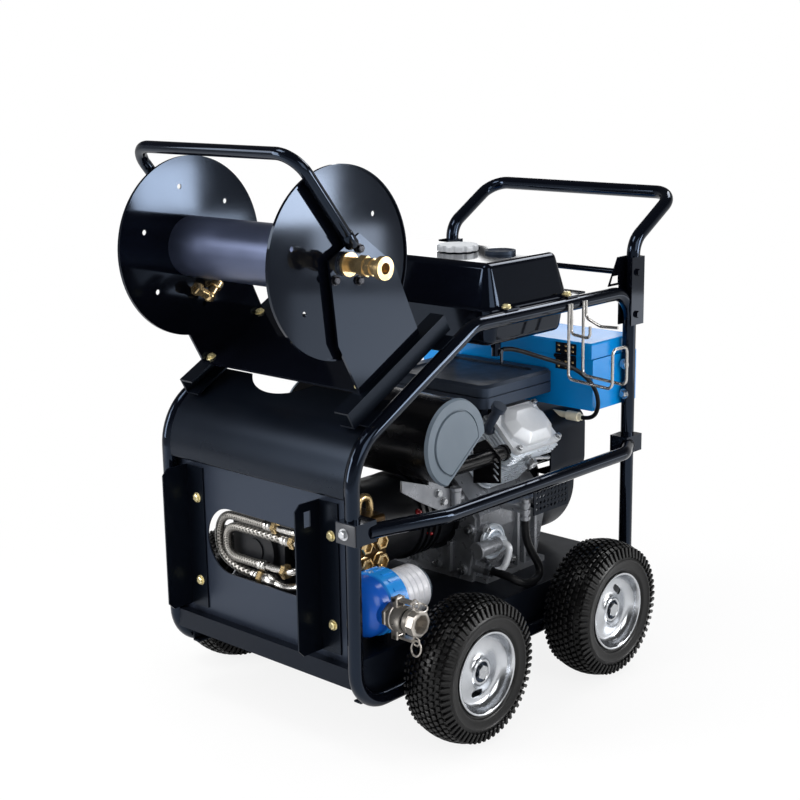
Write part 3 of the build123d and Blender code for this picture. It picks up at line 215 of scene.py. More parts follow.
# Petrol filter's body: creamy white
white_plastic = finish_material(
    "moulded_white_nylon", "#f0ead6", "#ddd4b8", 12, (0.3, 0.42), 1.0, 0.06)
# Filter cup: a cool milky white
milky_plastic = finish_material(
    "milky_polypropylene", "#f4f4f8", "#e6e7ee", 20, (0.2, 0.32), 1.0, 0.05)
# Tool box: clear sky blue with a clean shine
box_blue = finish_material(
    "blue_enamelled_sheet", "#0a91e4", "#0888d8", 120, (0.14, 0.2), 5, 0.03, Specular_IOR_Level=0.3)
# Oil plugs: two red points on the dark gearbox
red_plastic = finish_material(
    "moulded_red_nylon", "#b3262b", "#94191f", 6, (0.3, 0.4), 1.0, 0.06)
# Smoke-clear moulding of the filter's end: dark from outside, with light through it
smoke_clear = finish_material(
    "smoky_clear_styrene", "#aebccb", "#9fb0c2", 30, (0.06, 0.12), 2, 0.02,
    Transmission_Weight=0.85, IOR=1.5)

# Where the filter head's dome ends and its collar begins, along Y
DOME_END = -341
COLLAR_START = -333


def filter_plastic():
    """Blue polypropylene: deep in the thick dome, paler where the collar is thin."""
    material, tree, shader = start_material("moulded_blue_polypropylene")
    place = object_place(tree)
    spot = add_node(tree, "ShaderNodeSeparateXYZ", {0: place})
    collar = add_node(tree, "ShaderNodeMapRange", {
        "Value": spot.outputs["Y"], "From Min": DOME_END * MM, "From Max": COLLAR_START * MM})
    flow = noise(tree, place, 25, 2.0)
    shade = add_node(tree, "ShaderNodeMath", {0: flow, 1: 0.25}, operation="MULTIPLY")
    blend = add_node(tree, "ShaderNodeMath", {
        0: collar.outputs["Result"], 1: shade.outputs[0]}, operation="SUBTRACT")
    colour = two_tones(tree, blend.outputs[0], "#155bc2", "#2b9cf0")
    finish_shader(
        tree, shader, colour, relief(tree, flow, 0.06, 0.4), Roughness=0.2, Specular_IOR_Level=0.35)
    return material


def braid_material():
    """Stainless wire braid: bright diamonds that cross, drawn at 4 mm so that they show."""
    material, tree, shader = start_material("stainless_wire_braid")
    along = add_node(tree, "ShaderNodeUVMap").outputs["UV"]
    strands = []
    for lean in (1, -1):
        laid = add_node(tree, "ShaderNodeMapping", {"Vector": along, "Scale": (26.0, 3.0 * lean, 1.0)})
        strand = add_node(tree, "ShaderNodeTexWave", {
            "Vector": laid.outputs["Vector"], "Scale": 1.0, "Distortion": 0.0}, bands_direction="DIAGONAL")
        strands.append(strand.outputs["Fac"])
    crossed = add_node(tree, "ShaderNodeMath", {0: strands[0], 1: strands[1]}, operation="MAXIMUM")
    weave = crossed.outputs[0]
    colour = two_tones(tree, weave, "#2c2b29", "#a19e99")
    finish_shader(tree, shader, colour, relief(tree, weave, 0.7, 1.2), Metallic=0.9, Roughness=0.28)
    return material


filter_blue = filter_plastic()
wire_braid = braid_material()


def dress(material, *nodes):
    """Gives CAD nodes a finish."""
    for name in nodes:
        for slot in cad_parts[name].material_slots:
            slot.material = material


# Finishes of the CAD nodes that show
dress(black_enamel, "side_frames", "guard_rails", "push_handle", "reel_hoop", "handle_brackets")
dress(mirror_enamel, "reel_flanges", "fuel_tank")
dress(bracket_enamel, "reel_bracket")
dress(drum_lacquer, "reel_drum")
dress(black_sheet, "front_hood", "panel_brackets", "reel_rails")
dress(panel_sheet, "front_panel")
dress(black_powder, "base_frame", "engine_tray", "perforated_guard", "blower_housing")
dress(black_powder, "toolbox_hinges", "lid_leaves")
dress(stove_black, "muffler")
dress(stove_grey, "muffler_covers")
dress(cast_aluminium, "fuel_cap")
dress(grey_casting, "engine_crankcase")
dress(fin_aluminium_with_painted_light, "engine_cylinders")
dress(dark_casting, "pump_gearbox", "pump_crankcase", "flywheel")
dress(turned_brass, "reel_swivel")
dress(stainless, "accessory_rack")
dress(nickel_plate, "cam_lever_top", "cam_lever_bottom")
dress(zinc, "axles", "reel_bearings")
dress(black_plastic, "air_cleaner", "fuel_gauge", "oil_filler")
dress(white_plastic, "fuel_filter")
dress(filter_blue, "filter_head")
dress(box_blue, "toolbox_body", "toolbox_lid")


# Modelling

def fresh(name, add, **size):
    """A new primitive, alone in the selection, under its own name."""
    bpy.ops.object.select_all(action="DESELECT")
    add(**size)
    piece = bpy.context.object
    piece.name = name
    piece.data.name = name
    return piece


def give(piece, material, body, slot, *nodes):
    """Finish, body and the CAD nodes that a piece stands for. The slot is not used."""
    piece.data.materials.clear()
    piece.data.materials.append(material)
    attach(piece, body)
    if nodes:
        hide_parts(*nodes)


def pick_faces(piece, wanted):
    """Selects, in edit mode, the faces whose centre in mm and normal pass a test."""
    bpy.ops.mesh.select_mode(type="FACE")
    bpy.ops.mesh.select_all(action="DESELECT")
    mesh = bmesh.from_edit_mesh(piece.data)
    for face in mesh.faces:
        face.select_set(wanted(face.calc_center_median() / MM, face.normal))
    bmesh.update_edit_mesh(piece.data)


def pick_edges(piece, wanted):
    """Selects, in edit mode, the edges whose two ends in mm pass a test."""
    bpy.ops.mesh.select_mode(type="EDGE")
    bpy.ops.mesh.select_all(action="DESELECT")
    mesh = bmesh.from_edit_mesh(piece.data)
    for edge in mesh.edges:
        edge.select_set(wanted(edge.verts[0].co / MM, edge.verts[1].co / MM))
    bmesh.update_edit_mesh(piece.data)


def settle(piece, angle=35):
    """Ends editing: place in the mesh, smooth up to an angle."""
    if bpy.context.mode == "EDIT_MESH":
        bpy.ops.object.mode_set(mode="OBJECT")
    bpy.ops.object.select_all(action="DESELECT")
    piece.select_set(True)
    bpy.context.view_layer.objects.active = piece
    bpy.ops.object.transform_apply(location=True, rotation=True, scale=True)
    bpy.ops.object.shade_smooth_by_angle(angle=math.radians(angle))


def slab(name, low, high, edge, segments=3):
    """Block between two corners with all its edges rounded."""
    low = Vector(low) * MM
    high = Vector(high) * MM
    piece = fresh(
        name, bpy.ops.mesh.primitive_cube_add, size=1, location=(low + high) / 2, scale=high - low)
    bpy.ops.object.transform_apply(location=True, scale=True)
    bpy.ops.object.mode_set(mode="EDIT")
    bpy.ops.mesh.select_all(action="SELECT")
    bpy.ops.mesh.bevel(offset=edge * MM, segments=segments, affect="EDGES")
    settle(piece)
    return piece


def turned(name, profile, centre, axis, across, steps=72):
    """Lathe work: points of (along the axis, radius), extruded one from the next and spun round it."""
    centre = Vector(centre) * MM
    axis = Vector(axis)
    across = Vector(across)
    places = [centre + axis * (along * MM) + across * (radius * MM) for along, radius in profile]
    piece = fresh(name, bpy.ops.mesh.primitive_plane_add, size=MM, location=places[0])
    bpy.ops.object.transform_apply(location=True)
    bpy.ops.object.mode_set(mode="EDIT")
    bpy.ops.mesh.select_mode(type="VERT")
    bpy.ops.mesh.select_all(action="SELECT")
    bpy.ops.mesh.merge(type="CENTER")
    for here, there in zip(places, places[1:]):
        bpy.ops.mesh.extrude_region_move(TRANSFORM_OT_translate={"value": there - here})
    bpy.ops.mesh.select_all(action="SELECT")
    bpy.ops.mesh.spin(steps=steps, angle=2 * math.pi, center=centre, axis=axis)
    bpy.ops.mesh.select_all(action="SELECT")
    bpy.ops.mesh.remove_doubles(threshold=0.02 * MM)
    bpy.ops.mesh.normals_make_consistent(inside=False)
    settle(piece)
    return piece


def join(name, pieces):
    """Several pieces as one mesh."""
    bpy.ops.object.select_all(action="DESELECT")
    for piece in pieces:
        piece.select_set(True)
    bpy.context.view_layer.objects.active = pieces[0]
    bpy.ops.object.join()
    pieces[0].name = name
    pieces[0].data.name = name
    return pieces[0]


def copy_to(model, place, axis):
    """A copy of a piece modelled on the origin, with its own mesh, moved and with its Z along an axis."""
    made = model.copy()
    made.data = model.data.copy()
    bpy.context.collection.objects.link(made)
    turn = ALONG_Z.rotation_difference(Vector(axis)).to_matrix().to_4x4()
    made.matrix_world = Matrix.Translation(Vector(place) * MM) @ turn
    return made


def copies(name, model, seats, material, body, slot, *nodes):
    """One piece made of copies of a model, which then goes."""
    piece = join(name, [copy_to(model, place, axis) for place, axis in seats])
    settle(piece, 25)
    give(piece, material, body, slot, *nodes)
    bpy.data.objects.remove(model)


def bolt(across, height, washer):
    """Hexagon head with a chamfered crown, on a washer."""
    chamfer = 0.13 * across
    crown = 0.07 * across
    thickness = 1.6
    piece = fresh(
        "bolt", bpy.ops.mesh.primitive_cylinder_add, vertices=6, radius=across / math.sqrt(3) * MM,
        depth=height * MM, location=(0, 0, height / 2 * MM))
    bpy.ops.object.transform_apply(location=True)
    bpy.ops.object.mode_set(mode="EDIT")
    pick_faces(piece, lambda centre, normal: normal.z > 0.9)
    bpy.ops.mesh.inset(thickness=chamfer * MM, depth=crown * MM)
    bpy.ops.mesh.select_all(action="DESELECT")
    bpy.ops.mesh.primitive_cylinder_add(
        vertices=24, radius=washer / 2 * MM, depth=thickness * MM, location=(0, 0, thickness / 2 * MM))
    bpy.ops.mesh.bevel(offset=0.4 * MM, segments=1, affect="EDGES")
    settle(piece, 25)
    return piece


# Wheels

WHEEL_X = 322.5
WHEEL_Z = 140
AXLES_Y = {"front": -214, "rear": 202}
SIDES = {"right": 1, "left": -1}
WHEELS = [
    (end, hand, Vector((side * WHEEL_X, axle_y, WHEEL_Z)))
    for end, axle_y in AXLES_Y.items()
    for hand, side in SIDES.items()
]

# Tyres: a carcass with a raised ring on each sidewall, rows of small tread blocks and shoulder lugs

TREAD_PITCHES = 60
TREAD_ROWS = (-35, -23.3, -11.6, 0, 11.6, 23.3, 35)
TREAD_R = 137.2
CROWN_DROP = 9.5
SHOULDER_X = 43
BLOCK_SIZE = (8.6, 9.2, 5.2)
LUG_X = 45.4
LUG_R = 121.5
LUG_LEAN = 0.3
LUG_SIZE = (5.6, 6.6, 21)
HALF_CARCASS = [
    (0, 134.8), (20, 132.8), (36, 128), (43.5, 122), (47.2, 114), (48.6, 108), (49.6, 107), (49.8, 104.5),
    (48.8, 103.2), (48.2, 97), (46.8, 91.5), (47, 89), (45.6, 86), (43.4, 84.2), (42.8, 82), (41.4, 80.2),
    (41.4, 74.6),
]


def tread_block(centre, spot, turn, lean, size):
    """Adds a block at a spot on the tyre, turned round the axle."""
    place = centre + Matrix.Rotation(turn, 3, "X") @ Vector(spot)
    bpy.ops.mesh.primitive_cube_add(
        size=1, location=place * MM, rotation=(turn, lean, 0), scale=Vector(size) * MM)


def tread(name, centre):
    """One pitch of blocks and lugs, chamfered, then spun round the axle."""
    pitch = 2 * math.pi / TREAD_PITCHES
    sector = fresh(name, bpy.ops.mesh.primitive_cube_add, size=MM, location=centre * MM)
    bpy.ops.object.transform_apply(location=True)
    bpy.ops.object.mode_set(mode="EDIT")
    bpy.ops.mesh.select_all(action="SELECT")
    bpy.ops.mesh.delete(type="VERT")
    for row, along in enumerate(TREAD_ROWS):
        radius = TREAD_R - CROWN_DROP * (along / SHOULDER_X) ** 2
        lean = math.atan(2 * CROWN_DROP * along / SHOULDER_X ** 2)
        tread_block(centre, (along, 0, radius), (row % 2) * pitch / 2, lean, BLOCK_SIZE)
    for side in SIDES.values():
        tread_block(centre, (side * LUG_X, 0, LUG_R), pitch / 4, -side * LUG_LEAN, LUG_SIZE)
    bpy.ops.mesh.select_all(action="SELECT")
    bpy.ops.mesh.bevel(offset=1.1 * MM, segments=1, affect="EDGES")
    bpy.ops.mesh.select_all(action="SELECT")
    bpy.ops.mesh.spin(
        steps=TREAD_PITCHES - 1, dupli=True, angle=2 * math.pi - pitch, center=centre * MM, axis=ALONG_X)
    settle(sector, 30)
    return sector


def tyre(node, body, centre):
    """Carcass and tread as one piece."""
    profile = [(-along, radius) for along, radius in reversed(HALF_CARCASS)] + HALF_CARCASS[1:]
    profile.append(profile[0])
    carcass = turned(node + "_carcass", profile, centre, ALONG_X, ALONG_Z, 96)
    piece = join(node + "_tread", [carcass, tread(node + "_blocks", centre)])
    give(piece, tyre_rubber, body, "tyre_rubber", node)


for end, hand, centre in WHEELS:
    tyre(f"tyre_{end}_{hand}", f"wheel_{end}_{hand}", centre)


# Rims: a rolled lip, a deep bowl with the valve's slot, and a hub with its bush. The bowl faces outwards

RIM_PROFILE = [
    (41.6, 74.4), (41.6, 77.6), (42.6, 79.3), (44.2, 79.8), (45.5, 78.9), (45.8, 77.2), (45, 75.4),
    (42.4, 73.8), (35, 72.2), (28, 69.4), (23.4, 65.2), (21, 60), (20, 52), (20.6, 43), (22.6, 34),
    (25, 28), (27.5, 25.4), (30, 24.4), (31, 23), (31, 20), (30, 19), (22, 19), (22, 10.6), (-44, 10.6),
    (-44, 21), (14, 23), (19, 30), (17.4, 43), (16.8, 52), (17.8, 60.4), (20, 66), (22, 71), (-41, 71),
    (-42.5, 73.4), (-45, 75.4), (-45.8, 77.2), (-45.5, 78.9), (-44.2, 79.8), (-42.6, 79.3), (-41.6, 77.6),
    (-41.6, 74.4), (41.6, 74.4),
]
BUSH_PROFILE = [(21, 10.8), (22.6, 10.8), (23.4, 12), (23.4, 17.5), (22.6, 19), (21, 19), (21, 10.8)]
VALVE_SLOT_R = 44
VALVE_TURNS = {"front": -4, "rear": 140}


def facing(profile, side):
    """A wheel's profile, turned to face its side of the machine."""
    return [(side * along, radius) for along, radius in profile]


def rim(node, body, centre, side, slot_turn):
    """Pressed rim with the valve's slot cut through its bowl, and the bush in its hub."""
    made = turned(node + "_bowl", facing(RIM_PROFILE, side), centre, ALONG_X, ALONG_Z, 96)
    low, high = sorted((side * 8, side * 40))
    cutter = slab("valve_slot", (low, -15, -VALVE_SLOT_R - 7), (high, 15, -VALVE_SLOT_R + 7), 6.6, 4)
    cutter.rotation_euler.x = math.radians(slot_turn)
    cutter.location = centre * MM
    bpy.context.view_layer.objects.active = made
    cut = made.modifiers.new("valve_slot", "BOOLEAN")
    cut.operation = "DIFFERENCE"
    cut.object = cutter
    bpy.ops.object.modifier_apply(modifier=cut.name)
    bpy.data.objects.remove(cutter)
    settle(made, 30)
    give(made, rim_steel, body, "rim_silver", node)
    bush = turned(node + "_bush", facing(BUSH_PROFILE, side), centre, ALONG_X, ALONG_Z, 48)
    give(bush, black_plastic, body, "black_plastic")


for end, hand, centre in WHEELS:
    rim(f"rim_{end}_{hand}", f"wheel_{end}_{hand}", centre, SIDES[hand], VALVE_TURNS[end])


# Side skirts from the tray down to the low rails: black sheets that stand in for the shade in the gap
# there, painted shade

SKIRT_FRONT = -412
SKIRT_REAR = 376
# Inner and outer X, low and high Z, of the upright and of its lip
SKIRT_FLATS = ((230, 234, 108, 190), (216, 233, 108, 112))


def shade_filling_skirts():
    """An upright sheet and its lip on each side, black, filling the shaded gap as painted shade."""
    plates = []
    for side in SIDES.values():
        for near, far, low, high in SKIRT_FLATS:
            left, right = sorted((side * near, side * far))
            plates.append(slab("skirt", (left, SKIRT_FRONT, low), (right, SKIRT_REAR, high), 1, 2))
    give(join("shade_filling_skirts", plates), black_powder, "chassis", "black_paint")


shade_filling_skirts()


# Hoses and lines, each one smooth spline from fitting to fitting

def spline_line(name, route, diameter):
    """A smooth curve along a route, with a round section."""
    line = bpy.data.curves.new(name, "CURVE")
    line.dimensions = "3D"
    line.bevel_depth = diameter / 2 * MM
    line.bevel_resolution = 6
    line.resolution_u = 16
    line.use_fill_caps = True
    spline = line.splines.new("NURBS")
    spline.points.add(len(route) - 1)
    for point, (x, y, z) in zip(spline.points, route):
        point.co = (x * MM, y * MM, z * MM, 1)
    spline.order_u = 3
    spline.use_endpoint_u = True
    made = bpy.data.objects.new(name, line)
    bpy.context.collection.objects.link(made)
    return made


def hose(name, routes, diameter, material, slot, *nodes):
    """Lines of one kind as one mesh on the chassis."""
    lines = [spline_line(f"{name}_{i}", route, diameter) for i, route in enumerate(routes)]
    bpy.ops.object.select_all(action="DESELECT")
    for line in lines:
        line.select_set(True)
    bpy.context.view_layer.objects.active = lines[0]
    bpy.ops.object.convert(target="MESH")
    piece = join(name, lines) if len(lines) > 1 else lines[0]
    settle(piece, 60)
    give(piece, material, "chassis", slot, *nodes)


# The window's hoses lie in one plane behind the panel, and their pipes end in the pump's block
HOSE_Y = -397
BLOCK_Y = -364

hose("braided_loops", [
    [(x, HOSE_Y, z) for x, z in ((-20, 391), (-62, 391), (-157, 391), (-157, 284), (-52, 284))],
    [(x, HOSE_Y, z) for x, z in ((26, 371), (-54, 371), (-133, 371), (-133, 308), (-74, 308), (-30, 308))],
], 17, wire_braid, "braided_steel", "pressure_hoses")
hose("oil_drain_line", [[
    (200, 108, 322), (200, 108, 288), (206, 122, 252), (215, 138, 222), (221, 130, 202), (223, 98, 195),
    (222, 66, 204), (200, 46, 222), (149, 46, 222),
]], 17, hose_rubber, "black_rubber", "drain_hose")
hose("petrol_line", [[
    (200, 300, 500), (228, 300, 500), (247, 296, 534), (246, 278, 580), (230, 232, 622), (206, 160, 650),
    (190, 104, 672), (180, 76, 680), (180, 58, 680),
]], 9, hose_rubber, "black_rubber", "fuel_line")


# Unions of the braided hoses: hexagon nuts, ferrules and polished pipes into the pump's block

# X, Z and half the width across the flats of each nut
UNION_NUTS = ((-41, 284, 13.2), (24, 310, 12.5), (0, 391, 10.5), (46, 371, 10.5))
FERRULE_SEATS = ((-61, 284), (-40, 308), (-20, 391), (26, 371))
FERRULE_PROFILE = [
    (-1, 8), (-1, 9.2), (0, 10), (5, 10), (6.5, 9.3), (8, 10), (13, 10), (14.5, 9.3), (16, 10), (19, 10),
    (20, 9), (20, 6), (-1, 8),
]
BULB_PROFILE = [
    (-2, 8), (-2, 12), (2, 13.6), (9, 15), (16, 15), (24, 13.6), (32, 11), (34, 9.4), (34, 6), (-2, 8),
]


def hose_unions():
    """Fittings and pipes at the four ends of the braided hoses."""
    nuts = []
    for x, z, flat in UNION_NUTS:
        corner = flat / math.cos(math.pi / 6)
        profile = [(0, 6), (0, flat), (1.6, corner), (11.4, corner), (13, flat), (13, 6), (0, 6)]
        nuts.append(turned("union_nut", profile, (x, HOSE_Y, z), ALONG_X, ALONG_Y, 6))
    give(join("union_nuts", nuts), turned_brass, "chassis", "brass", "hose_nuts")
    ferrules = [
        turned("ferrule", FERRULE_PROFILE, (x, HOSE_Y, z), ALONG_X, ALONG_Z, 32) for x, z in FERRULE_SEATS
    ]
    give(join("hose_ferrules", ferrules), stainless, "chassis", "stainless")
    tilt = Vector((1, 0, -0.16)).normalized()
    bulb = turned("union_bulb", BULB_PROFILE, (-27, HOSE_Y, 284), tilt, ALONG_Y, 40)
    give(bulb, stainless, "chassis", "stainless")
    hose("thick_pipe", [[
        (-30, HOSE_Y, 284), (0, HOSE_Y, 280), (26, HOSE_Y, 276), (46, HOSE_Y, 280), (66, HOSE_Y + 3, 286),
        (68, HOSE_Y + 13, 288), (68, BLOCK_Y, 288),
    ]], 20, stainless, "stainless", "hose_pipes")
    hose("thin_pipes", [
        [(-30, HOSE_Y, 308), (0, HOSE_Y, 309), (30, HOSE_Y, 310), (44, HOSE_Y, 311), (56, HOSE_Y + 7, 316),
         (62, BLOCK_Y, 320)],
        [(-10, HOSE_Y, 391), (40, HOSE_Y, 391), (70, HOSE_Y, 391), (70, BLOCK_Y, 391)],
        [(36, HOSE_Y, 371), (80, HOSE_Y, 371), (102, HOSE_Y, 371), (102, BLOCK_Y, 371)],
    ], 14, stainless, "stainless")


hose_unions()


# Filter bowl: milky ribbed cup, a smoky end and a drain knob

FILTER = (187, 0, 266)
CUP_FRONT = -292
CUP_REAR = -218
CUP_R = 46.8
GROOVE_R = 44.6
RIBS = 5
RIB_PITCH = 13.5


def turned_y(name, profile, steps=72):
    """Lathe work on the filter's axis, from (Y, radius)."""
    return turned(name, profile, FILTER, ALONG_Y, ALONG_Z, steps)


def filter_cup():
    """Cup, end and knob, one behind the other."""
    cup = [(CUP_FRONT, 40), (CUP_FRONT, 45), (CUP_FRONT + 2, CUP_R)]
    for i in range(RIBS):
        y = CUP_FRONT + 3 + RIB_PITCH * i
        cup += [(y, CUP_R), (y + 9.5, CUP_R), (y + 11, GROOVE_R), (y + 12, GROOVE_R)]
    cup += [(CUP_REAR - 2, CUP_R), (CUP_REAR, 46), (CUP_REAR, 40), (CUP_FRONT, 40)]
    give(turned_y("filter_cup", cup), milky_plastic, "chassis", "clear_plastic", "filter_bowl")
    end = [(CUP_REAR, 38), (CUP_REAR, 44.5), (-213, 44), (-207, 40), (-204, 34), (-204, 0)]
    give(turned_y("filter_cup_end", end), smoke_clear, "chassis", "clear_plastic")
    knob = [(-206, 9), (-203, 9), (-202, 7), (-196, 7), (-195, 5.5), (-195, 0)]
    give(turned_y("filter_drain_knob", knob, 24), milky_plastic, "chassis", "clear_plastic")


filter_cup()


# Cam-lock coupler on the filter's inlet

INLET = Vector((248, -349, 266))
LUGS_Y = (-360, -342)
LUG_THICKNESS = 4
PIN_PROFILE = [(-11, 0), (-11, 3.4), (-9.5, 3.4), (-9.5, 2.5), (9.5, 2.5), (9.5, 3.4), (11, 3.4), (11, 0)]
# Place and turn in degrees: the top ring lies on the coupler, the low one hangs
PULL_RINGS = {"top": ((324, -349, 297), (0, 20, 0)), "bottom": ((313, -349, 217), (80, 0, 0))}


def turned_x(name, profile, steps=48):
    """Lathe work on the coupler's axis, outwards from the filter."""
    return turned(name, profile, INLET, ALONG_X, ALONG_Z, steps)


def coupler():
    """Hexagon adapter, ringed cup, end nut with its bore, and the levers' lugs and pins. Then the seal."""
    adapter = turned_x("adapter", [(0, 0), (0, 22), (2, 24.2), (7, 24.2), (9, 22), (9, 0)], 6)
    cup = turned_x("cup", [
        (9, 0), (9, 18), (12, 18), (12, 22.5), (14, 25), (21, 25), (22, 23.6), (25, 23.6), (26, 25),
        (40, 25), (43, 23.5), (45, 23.5), (45, 20), (49, 20), (49, 22), (57, 22), (58, 20.4), (62, 20.4),
        (62, 17), (42, 17), (42, 0)])
    end = turned_x("end_nut", [
        (60, 17.5), (60, 22), (61.5, 25.2), (76, 25.2), (78, 22.5), (78, 17.5), (60, 17.5)], 8)
    bore = turned_x("bore", [(62, 17), (62, 18), (78, 18), (78, 17), (62, 17)])
    parts = [cup, adapter, end, bore]
    for up in (1, -1):
        low, high = sorted((INLET.z + up * 21, INLET.z + up * 40))
        for y in LUGS_Y:
            near = (INLET.x + 14, y, low)
            far = (INLET.x + 30, y + LUG_THICKNESS, high)
            parts.append(slab("lug", near, far, 1.9))
        hinge = INLET + Vector((22, 0, up * 35))
        parts.append(turned("pin", PIN_PROFILE, hinge, ALONG_Y, ALONG_Z, 20))
    give(join("coupler_body", parts), nickel_plate, "chassis", "stainless", "cam_coupler")
    seal = turned_x("coupler_seal", [
        (45.4, 19), (45.4, 21), (46.4, 21.8), (47.6, 21.8), (48.6, 21), (48.6, 19), (45.4, 19)])
    give(seal, hose_rubber, "chassis", "black_rubber")


coupler()


def pull_ring(name, body, place, turn):
    """Ring in the eye of a cam lever, drawn to an oval."""
    centre = Vector(place) * MM
    ring = fresh(
        name, bpy.ops.mesh.primitive_torus_add, location=centre, rotation=[math.radians(a) for a in turn],
        major_radius=12 * MM, minor_radius=1.7 * MM, major_segments=40, minor_segments=10)
    bpy.ops.object.transform_apply(location=True, rotation=True)
    bpy.ops.object.mode_set(mode="EDIT")
    bpy.ops.mesh.select_all(action="SELECT")
    bpy.ops.transform.resize(value=(0.95, 1.2, 1.15), center_override=centre)
    settle(ring)
    give(ring, nickel_plate, body, "stainless")


for lever, (ring_place, ring_turn) in PULL_RINGS.items():
    pull_ring(lever + "_lever_ring", lever + "_lever", ring_place, ring_turn)


# Pump's valve block with its caps

PLUNGERS_Y = (-328, -286, -244)
VALVES_Z = (352, 313)
BLOCK_LOW = (50, -368, 250)
BLOCK_HIGH = (122, -216, 400)
BLOCK_MIDDLE_X = 86


def valve_cap():
    """Hexagon plug with a socket, on a round collar."""
    cap = fresh(
        "cap", bpy.ops.mesh.primitive_cylinder_add, vertices=6, radius=16.5 * MM, depth=11 * MM,
        location=(0, 0, 9 * MM))
    bpy.ops.object.transform_apply(location=True)
    bpy.ops.object.mode_set(mode="EDIT")
    pick_faces(cap, lambda centre, normal: normal.z > 0.9)
    bpy.ops.mesh.inset(thickness=2.5 * MM, depth=1.5 * MM)
    bpy.ops.mesh.inset(thickness=2.5 * MM, depth=0)
    bpy.ops.mesh.inset(thickness=0.6 * MM, depth=-6 * MM)
    bpy.ops.mesh.select_all(action="DESELECT")
    bpy.ops.mesh.primitive_cylinder_add(
        vertices=32, radius=17.5 * MM, depth=5 * MM, location=(0, 0, 1.9 * MM))
    bpy.ops.mesh.bevel(offset=1 * MM, segments=2, affect="EDGES")
    settle(cap, 25)
    return cap


def valve_block():
    """Forged block, two caps on top, six on its face and the outlet's arch."""
    block = slab("valve_block", BLOCK_LOW, BLOCK_HIGH, 8, 4)
    give(block, forged_brass, "chassis", "brass", "pump_manifold")
    seats = [((BLOCK_MIDDLE_X, y, BLOCK_HIGH[2]), ALONG_Z) for y in PLUNGERS_Y[:2]]
    seats += [((BLOCK_HIGH[0], y, z), ALONG_X) for y in PLUNGERS_Y for z in VALVES_Z]
    copies("valve_caps", valve_cap(), seats, turned_brass, "chassis", "brass")
    arch = ((-260, 396), (-260, 424), (-243, 432), (-226, 424), (-226, 396))
    hose("outlet_elbow", [[(BLOCK_MIDDLE_X, y, z) for y, z in arch]], 15, turned_brass, "brass")


valve_block()


# Engine dressing. Along the crank, each bank's cylinder stands at its own place

BANK_C = math.cos(math.radians(45))
BANKS_Y = {1: 147, -1: 123}
CRANK_Z = 336
COVER_BOLTS = [(along, across) for along in (-64, 64) for across in (-44, 44)]
COVER_BOLT_OUT = 245
RIBS_OUT = (199, 207, 215, 223)


def bank_frame(side):
    """Frame on the crank: X along it, Z along a cylinder."""
    out = Vector((side * BANK_C, 0, BANK_C))
    turn = Matrix((ALONG_Y, out.cross(ALONG_Y), out)).transposed().to_4x4()
    return Matrix.Translation(Vector((0, BANKS_Y[side], CRANK_Z)) * MM) @ turn


def rocker_cover(side):
    """Flanged cover with a crown whose corners are cut off, and a boss at each bolt."""
    cover = fresh(
        "rocker_cover", bpy.ops.mesh.primitive_cube_add, size=1, location=(0, 0, 236 * MM),
        scale=(144 * MM, 104 * MM, 8 * MM))
    bpy.ops.object.transform_apply(location=True, scale=True)
    bpy.ops.object.mode_set(mode="EDIT")
    pick_edges(cover, lambda a, b: abs(a.z - b.z) > 4)
    bpy.ops.mesh.bevel(offset=13 * MM, segments=4, affect="EDGES")
    bpy.ops.mesh.select_all(action="DESELECT")
    bpy.ops.mesh.primitive_cube_add(
        size=1, location=(0, 0, 245 * MM), scale=(126 * MM, 88 * MM, 12 * MM))
    pick_edges(cover, lambda a, b: abs(a.z - b.z) > 10 and abs(abs(a.x) - 63) < 0.1)
    bpy.ops.mesh.bevel(offset=27 * MM, segments=1, affect="EDGES")
    pick_faces(cover, lambda centre, normal: normal.z > 0.9 and centre.z > 250)
    bpy.ops.mesh.extrude_region_move(TRANSFORM_OT_translate={"value": (0, 0, 14 * MM)})
    bpy.ops.transform.resize(value=(0.66, 0.6, 1), center_override=(0, 0, 265 * MM))
    pick_edges(cover, lambda a, b: min(a.z, b.z) > 250)
    bpy.ops.mesh.bevel(offset=2.5 * MM, segments=2, affect="EDGES")
    for along, across in COVER_BOLTS:
        bpy.ops.mesh.select_all(action="DESELECT")
        bpy.ops.mesh.primitive_cylinder_add(
            vertices=20, radius=8 * MM, depth=13 * MM, location=(along * MM, across * MM, 238.5 * MM))
        bpy.ops.mesh.bevel(offset=1.4 * MM, segments=2, affect="EDGES")
    bpy.ops.object.mode_set(mode="OBJECT")
    cover.matrix_world = bank_frame(side)
    settle(cover, 30)
    return cover


def bank_seats(spots, out):
    """Places on both banks, from (along the crank, across) at a distance from it, facing outwards."""
    seats = []
    for side in BANKS_Y:
        bank = bank_frame(side)
        axis = bank.to_3x3() @ ALONG_Z
        for along, across in spots:
            seats.append((bank @ (Vector((along, across, out)) * MM) / MM, axis))
    return seats


covers = join("rocker_covers", [rocker_cover(1), rocker_cover(-1)])
give(covers, cast_aluminium, "chassis", "cast_aluminium", "valve_covers")

CRANKCASE_FRONT = 21
CRANKCASE_BOLTS = ((36, 216), (104, 216), (124, 306), (92, 366))
STAY_BOLTS = ((-96, 415), (-80, 395))
FLANK_BOLTS = ((46, 306), (128, 222))

cover_seats = bank_seats(COVER_BOLTS, COVER_BOLT_OUT)
copies("cover_bolts", bolt(10, 6, 14), cover_seats, zinc, "chassis", "zinc_steel")
copies("crankcase_bolts", bolt(12, 7, 18), [
    ((side * x, CRANKCASE_FRONT, z), -ALONG_Y) for side in SIDES.values() for x, z in CRANKCASE_BOLTS
], zinc, "chassis", "zinc_steel")
stay_seats = [((145, y, z), ALONG_X) for y, z in STAY_BOLTS]
stay_seats += [((side * 150, y, z), side * ALONG_X) for side in SIDES.values() for y, z in FLANK_BOLTS]
copies("stay_bolts", bolt(13, 7, 18), stay_seats, zinc, "chassis", "zinc_steel")


